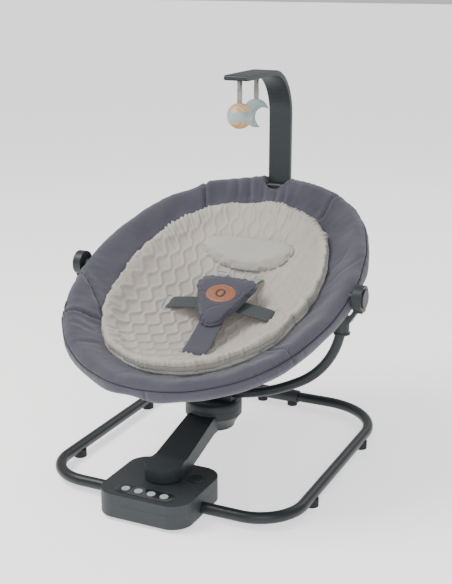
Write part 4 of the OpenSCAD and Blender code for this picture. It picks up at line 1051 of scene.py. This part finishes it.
def makeBadge(height):
    # A thin oval that follows the pad's crown: rounded lip, stitched border groove, raised ring and a
    # wreath of dots
    turn = np.linspace(0, 2 * math.pi, 144, endpoint=False)
    ring = np.stack([badge["halfLength"] * np.cos(turn), badge["halfWidth"] * np.sin(turn)], 1)
    share = np.concatenate([np.linspace(0, 0.9, 46)[1:], [0.93, 0.955, 0.975, 0.99, 1.0]])[:, None]
    plan = ring[None] * share[..., None]
    x, y = plan[..., 0], plan[..., 1]
    dots = np.maximum.reduce([bell(np.hypot(x - 0.66 * badge["halfLength"] * math.cos(a),
                                            y - 0.66 * badge["halfWidth"] * math.sin(a)), 0.0015)
                              for a in np.linspace(0, 2 * math.pi, 16, endpoint=False)])
    circle = np.hypot(x, y)
    relief = -0.0005 * bell(circle - 0.0130, 0.0010) - 0.0006 * bell(circle - 0.0066, 0.0012) - 0.00045 * dots
    relief -= 0.0005 * bell((share - 0.885) * badge["halfWidth"], 0.0009)
    lip = badge["thick"] * (1 - np.clip((share - 0.9) / 0.1, 0, 1) ** 3 * 0.55)
    plan = plan + [0, badge["headward"]]
    base = float(height(np.array([[0.0, badge["headward"]]]))[0])
    crown = base - 0.9 * (x ** 2 + y ** 2) / 0.6
    upper = np.stack([plan[..., 0], plan[..., 1], crown + lip + relief], 2)
    lower = np.stack([plan[..., 0], plan[..., 1], crown - 0.0012], 2)
    piece = gridPiece("badge_oval", padToRow(np.concatenate([upper, lower[::-1]])), [badgeLeather],
                      poles=(True, True))
    rim = np.stack([0.885 * ring[:, 0], 0.885 * ring[:, 1] + badge["headward"],
                    base - 0.9 * 0.885 ** 2 * (ring ** 2).sum(1) / 0.6 + badge["thick"] - 0.0003], 1)
    return piece, rim, base


padLift = Vector(padToRow(np.array([0.0, 0.0, 1.0])) - padToRow(np.array([0.0, 0.0, 0.0])))
crotchPad = makePad()
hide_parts("crotch_pad")
padHeight = surfaceUnder(crotchPad)
badgeOval, badgeRim, badgeBase = makeBadge(padHeight)
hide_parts("badge")
badgeStitches = stitchRow("badge_stitches", padToRow(badgeRim), padLift,
                          {"pitch": 0.0036, "length": 0.0026, "radius": 0.00042}, threadTan)
ringTurn = np.linspace(0, 2 * math.pi, 72, endpoint=False)
ringPath = np.stack([0.0098 * np.cos(ringTurn), 0.0098 * np.sin(ringTurn) + badge["headward"],
                     0 * ringTurn + badgeBase + badge["thick"] - 0.0002], 1)
burnt = leatherMaterial("burntLeather", (0.040, 0.016, 0.010))
badgeRing = sweepPiece("badge_ring", padToRow(ringPath), padLift, bandProfile(0.0012, 0.0046, 16), [burnt],
                       closed=True)
borderLine = padOutline(400, pad["border"] + 0.0002)
borderPath = padToRow(np.concatenate([borderLine, padHeight(borderLine)[:, None] + 0.0001], 1))
padStitches = stitchRow("pad_stitches", borderPath, padLift,
                        {"pitch": 0.0040, "length": 0.0028, "radius": 0.00040}, threadSlate)
for one in (crotchPad, badgeOval, badgeStitches, badgeRing, padStitches):
    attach(one, "seat")
print("pad and badge")

# Harness webbing

webbing = {"thick": 0.0020, "crotch": 0.058, "waist": 0.038, "shoulder": 0.025, "buckle": 0.011}


def harnessLines():
    # Knots in the seat frame, as the straps run from under the pad to where they dive into the liner
    level = float(linerTop(0.0, 0.0)) + pad["above"] - pad["thick"] / 2 - 0.0005 - webbing["buckle"] / 2
    half = webbing["thick"] / 2
    foot = float(linerTop(webbing["crotch"] / 2, -0.165)) + half + 0.0005
    waist = float(linerTop(0.128, -0.020)) + half + 0.0019
    head = float(linerTop(0.046, 0.109)) + half + 0.002
    crotchLine = [(0, -0.176, foot - 0.009), (0, -0.165, foot), (0, -0.143, foot + 0.001),
                  (0, -0.115, foot + 0.003),
                  (0, -0.080, foot + 0.006), (0, -0.062, level - 0.0029), (0, -0.045, level + 0.001)]
    waistLine = [(0.030, -0.009, level), (0.044, -0.009, level), (0.072, -0.010, level - 0.002),
                 (0.100, -0.014, level - 0.003), (0.128, -0.020, waist), (0.136, -0.022, waist - 0.010)]
    shoulderLine = [(0.036, 0.020, level), (0.038, 0.034, level + 0.001), (0.040, 0.062, level + 0.004),
                    (0.043, 0.088, level + 0.001), (0.046, 0.109, head), (0.047, 0.116, head - 0.010)]
    return crotchLine, waistLine, shoulderLine


crotchLine, waistLine, shoulderLine = harnessLines()


def makeStrap(name, line, across, width, thick, material, mirrored=False):
    knots = np.array(line, float)
    if mirrored:
        knots[:, 0] *= -1
    path = splinePoints(knots, 70)
    flat = toRow(np.array([across, (0, 0, 0)], float))
    return sweepPiece(name, toRow(path), flat[0] - flat[1], bandProfile(width, thick), [material])


crotchSleeve = makeStrap("crotch_strap_sleeve", crotchLine, (1, 0, 0), webbing["crotch"], 0.0042, padTwill)
waistLeft = makeStrap("waist_strap_left", waistLine, (0, 1, 0), webbing["waist"], webbing["thick"],
                      darkWebbing)
waistRight = makeStrap("waist_strap_right", waistLine, (0, 1, 0), webbing["waist"], webbing["thick"],
                       darkWebbing, True)
shoulderLeft = makeStrap("shoulder_strap_left", shoulderLine, (1, 0, 0), webbing["shoulder"],
                         webbing["thick"], lightWebbing)
shoulderRight = makeStrap("shoulder_strap_right", shoulderLine, (1, 0, 0), webbing["shoulder"],
                          webbing["thick"], lightWebbing, True)
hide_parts("crotch_strap")
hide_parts("waist_straps")
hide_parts("shoulder_straps")
for one, slotName in ((crotchSleeve, "cover_fabric"), (waistLeft, "dark_webbing"),
                      (waistRight, "dark_webbing"),
                      (shoulderLeft, "light_webbing"), (shoulderRight, "light_webbing")):
    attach(one, "seat")


def makeSlotWelt(name, centre, halfX, halfY, material):
    # A sewn oval ring that lies on the liner round the slot that a strap goes through
    turn = np.linspace(0, 2 * math.pi, 96, endpoint=False)
    c, s = np.cos(turn), np.sin(turn)
    x = centre[0] + halfX * np.sign(c) * np.abs(c) ** 0.5
    y = centre[1] + halfY * np.sign(s) * np.abs(s) ** 0.5
    path = toRow(np.stack([x, y, linerTop(x, y) + 0.0010], 1))
    up = toRow(np.array([[0, 0, 1.0], [0, 0, 0]]))
    welt = sweepPiece(name, path, up[0] - up[1], bandProfile(0.0026, 0.0034, 14), [material], closed=True)
    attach(welt, "seat")
    return path


for name, centre, halfX, halfY in (("slot_welt_crotch", (0, -0.171), 0.034, 0.0065),
                                   ("slot_welt_waist_left", (0.1335, -0.021), 0.0065, 0.023),
                                   ("slot_welt_waist_right", (-0.1335, -0.021), 0.0065, 0.023),
                                   ("slot_welt_shoulder_left", (0.0465, 0.1125), 0.0165, 0.0050),
                                   ("slot_welt_shoulder_right", (-0.0465, 0.1125), 0.0165, 0.0050)):
    makeSlotWelt(name, centre, halfX, halfY, linerBacking)
print("harness")

# Smooth tube for the yoke

yoke = {"radius": 0.011, "low": 0.170, "bottomRadius": 0.420, "cornerRadius": 0.182, "straight": 0.010,
        "top": 0.376}


def makeYoke():
    # A wide bottom arc, a short straight and a tighter arc on each side, all tangent
    half = seat["halfWidth"] - 0.004
    drop = yoke["bottomRadius"] - yoke["cornerRadius"]
    bend = math.asin((half - yoke["cornerRadius"])
                     / math.hypot(drop, yoke["straight"])) - math.atan2(yoke["straight"], drop)
    cornerX = half - yoke["cornerRadius"]
    cornerZ = yoke["low"] + yoke["bottomRadius"] - drop * math.cos(bend) + yoke["straight"] * math.sin(bend)
    turn = np.linspace(0, bend, 60)
    upTurn = np.linspace(bend, math.acos((cornerZ - yoke["top"]) / yoke["cornerRadius"]), 70)
    x = np.concatenate([yoke["bottomRadius"] * np.sin(turn), cornerX + yoke["cornerRadius"] * np.sin(upTurn)])
    z = np.concatenate([yoke["low"] + yoke["bottomRadius"] * (1 - np.cos(turn)),
                        cornerZ - yoke["cornerRadius"] * np.cos(upTurn)])
    x, z = np.concatenate([-x[:0:-1], x]), np.concatenate([z[:0:-1], z])
    path = np.stack([x, 0 * x + recline["pos_m"][1], z], 1)
    return sweepPiece("yoke_tube_bent", path, (0, 1, 0), roundProfile(yoke["radius"], 40), [powderCoat])


yokeTube = makeYoke()
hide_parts("yoke_tube")
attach(yokeTube, "yoke")
print("yoke")

# Toys

toys = {"moonRadius": 0.033, "moonThick": 0.017, "ballRadius": 0.029}


def makeMoon():
    # A crescent: across each line through the cut circle's side the felt swells like a lens between two edges
    low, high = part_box("toy_moon")
    r = toys["moonRadius"]
    centre = np.array([low.x + r, (low.y + high.y) / 2, high.z - r])
    cut, cutR = np.array([0.62 * r, -0.30 * r]), 0.72 * r
    reach = math.hypot(*cut)
    aim = math.atan2(cut[1], cut[0])
    tip = math.acos((r * r + reach * reach - cutR * cutR) / (2 * r * reach))
    share = np.sin(np.linspace(-1, 1, 90) * math.pi / 2)
    spread = aim + math.pi + share * (math.pi - tip) * 0.995
    outerEdge = r * np.stack([np.cos(spread), np.sin(spread)], 1)
    innerTip = math.atan2(r * math.sin(tip), r * math.cos(tip) - reach)
    inward = aim + math.pi + share * (math.pi - innerTip) * 0.995
    innerEdge = cut + cutR * np.stack([np.cos(inward), np.sin(inward)], 1)
    middle, half = (outerEdge + innerEdge) / 2, (outerEdge - innerEdge) / 2
    turn = np.linspace(0, 2 * math.pi, 40, endpoint=False)
    thick = toys["moonThick"] / 2 * np.minimum(1, np.linalg.norm(half, axis=1) / 0.010) ** 0.7
    face = middle[:, None] + half[:, None] * np.cos(turn)[None, :, None]
    depth = thick[:, None] * np.sign(np.sin(turn)) * np.abs(np.sin(turn)) ** 0.8
    points = np.stack([centre[0] + face[..., 0], centre[1] + depth, centre[2] + face[..., 1]], 2)
    piece = gridPiece("felt_moon", points[::-1], [feltWool], poles=(True, True))
    outline = np.concatenate([outerEdge[4:-4] - half[4:-4] * 0.14,
                              (innerEdge[4:-4] + half[4:-4] * 0.14)[::-1]])
    seams = np.stack([centre[0] + outline[:, 0], 0 * outline[:, 0] + centre[1] - 0.0042,
                      centre[2] + outline[:, 1]], 1)
    return piece, seams


def makeBall():
    # A turned ball: its profile has two grooves, a flat round the hole and a painted middle band
    low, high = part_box("toy_ball")
    centre = np.array([(low.x + high.x) / 2, (low.y + high.y) / 2, (low.z + high.z) / 2])
    polar = np.linspace(0.10, math.pi - 0.10, 90)
    radius = toys["ballRadius"] - 0.0009 * bell(polar - 1.18, 0.035) - 0.0009 * bell(polar - 1.96, 0.035)
    turn = np.linspace(0, 2 * math.pi, 96, endpoint=False)
    ring = radius * np.sin(polar)
    points = np.stack([centre[0] + ring[:, None] * np.cos(turn), centre[1] + ring[:, None] * np.sin(turn),
                       centre[2] - (radius * np.cos(polar))[:, None] + 0 * turn], 2)
    pick = np.broadcast_to(((polar > 1.18) & (polar < 1.96)).astype(int)[:, None], points.shape[:2])
    paint = mouldedMaterial("ballPaint", (0.30, 0.38, 0.385), 0.4, coat=0.2)
    return gridPiece("turned_ball", points, [oiledBeech, paint], poles=(True, True), pick=pick)


moon, moonSeam = makeMoon()
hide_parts("toy_moon")
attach(moon, "hanging_moon")
moonStitches = stitchRow("moon_stitches", moonSeam, (0, -1, 0),
                         {"pitch": 0.0042, "length": 0.0028, "radius": 0.00045}, threadTan)
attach(moonStitches, "hanging_moon")
ball = makeBall()
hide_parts("toy_ball")
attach(ball, "hanging_ball")
print("toys")

# Side label

label = {"angle": math.radians(200), "radius": 0.0236, "halfWidth": 0.0075, "arc": (-25, 50), "thick": 0.0012}


def makeLabel():
    # A small woven tag, sewn into the binding, that follows the padded edge's round outside
    place, outward, _, _ = hoopPath(720)
    at = int(np.argmin(np.abs(np.arctan2(outward[:, 1], outward[:, 0]) + 2 * math.pi * (outward[:, 1] < 0)
                              - label["angle"])))
    turn = np.radians(np.linspace(*label["arc"], 24))
    out = label["radius"] * np.cos(turn)
    path = np.stack([place[at][0] + outward[at][0] * out, place[at][1] + outward[at][1] * out,
                     label["radius"] * np.sin(turn)], 1)
    side = toRow(np.array([[-outward[at][1], outward[at][0], 0], [0, 0, 0.0]]))
    return sweepPiece("side_tag", toRow(path), side[0] - side[1],
                      bandProfile(2 * label["halfWidth"], label["thick"], 20), [darkWebbing])


sideTag = makeLabel()
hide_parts("side_label")
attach(sideTag, "seat")

# Moulded and metal parts from the frame

# Edge radius in metres for the parts that get rounded edges; the others only get a finish
edges = {"drive_housing_tray": 0.0016, "drive_housing_cover": 0.0022, "control_panel": 0.0003,
         "power_button": 0.0009,
         "speed_button": 0.0009, "timer_button": 0.0009, "sound_button": 0.0009, "swing_arm": 0.0022,
         "arm_bottom_cover": 0.0008, "hub_bottom_cap": 0.0006, "hub_cap": 0.0018, "side_socket_left": 0.0012,
         "side_socket_right": 0.0012, "recline_housing_left": 0.0020, "recline_housing_right": 0.0020,
         "recline_button_left": 0.0014, "recline_button_right": 0.0014, "hoop_brackets": 0.0018,
         "toy_bar_socket": 0.0020,
         "toy_bar": 0.0024, "buckle": 0.0020, "buckle_button": 0.0010, "base_rear_joint": 0.0014,
         "base_feet": 0.0012,
         "ball_clip": 0.0005, "moon_clip": 0.0005, "speaker_grille": 0.0002, "base_tube_left": 0,
         "base_tube_right": 0,
         "seat_hoop": 0}
finishes = {"steel_tube": powderCoat, "dark_plastic": satinPlastic, "gloss_panel": glossPanel,
            "button_plastic": buttonPlastic,
            "rubber": softRubber, "bright_metal": zincSteel, "gear_plastic": gearPlastic, "board": boardGreen,
            "ribbon_fabric": ribbonWeave}


def roundedCopy(node, edge, material):
    # The part's triangles are joined, flat faces are made whole again and the sharp edges rounded
    mesh = frame["nodes"][node].data.copy()
    mesh.materials.clear()
    work = bmesh.new()
    work.from_mesh(mesh)
    bmesh.ops.remove_doubles(work, verts=work.verts, dist=0.00001)
    bmesh.ops.dissolve_limit(work, angle_limit=math.radians(0.6), verts=work.verts, edges=work.edges)
    work.to_mesh(mesh)
    work.free()
    mesh.name = node + "_finished"
    piece = finishMesh(node + "_finished", mesh, [material])
    if edge:
        bevel = piece.modifiers.new("edges", "BEVEL")
        bevel.width, bevel.segments, bevel.limit_method = edge, 3, "ANGLE"
        bevel.angle_limit = math.radians(38)
        bevel.harden_normals = True
    mesh.set_sharp_from_angle(angle=math.radians(38))
    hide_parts(node)
    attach(piece, frame["nodes"][node]["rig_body"])
    return piece


slotOf = {part["node"]: part["material_slot"] for part in frame["record"]["subparts"]}
for node, thing in frame["nodes"].items():
    finish = finishes.get(slotOf.get(node), satinPlastic)
    if node in ("drive_housing_tray", "drive_housing_cover"):
        finish = housingPlastic
    thing.data.materials.clear()
    thing.data.materials.append(finish)
    if node in edges:
        made = roundedCopy(node, edges[node], finish)
print("frame parts")

# Floor


def makeFloor():
    mesh = bpy.data.meshes.new("floor")
    mesh.from_pydata([(-30, -30, 0), (30, -30, 0), (30, 30, 0), (-30, 30, 0)], [], [(0, 1, 2, 3)])
    made, tree, face = startMaterial("paleFloor", 0.75, specular=0.2)
    place = coordinates(tree, "Object")
    tree.links.new(colourRamp(tree, noise(tree, place, 2.5, 1),
                              [(0.2, (0.93, 0.93, 0.92)), (0.8, (0.95, 0.95, 0.94))]),
                   face.inputs["Base Color"])
    face.inputs["Emission Color"].default_value = (0.97, 0.98, 0.97, 1)
    face.inputs["Emission Strength"].default_value = 0.95
    floor = finishMesh("floor", mesh, [made])


makeFloor()
print("done")
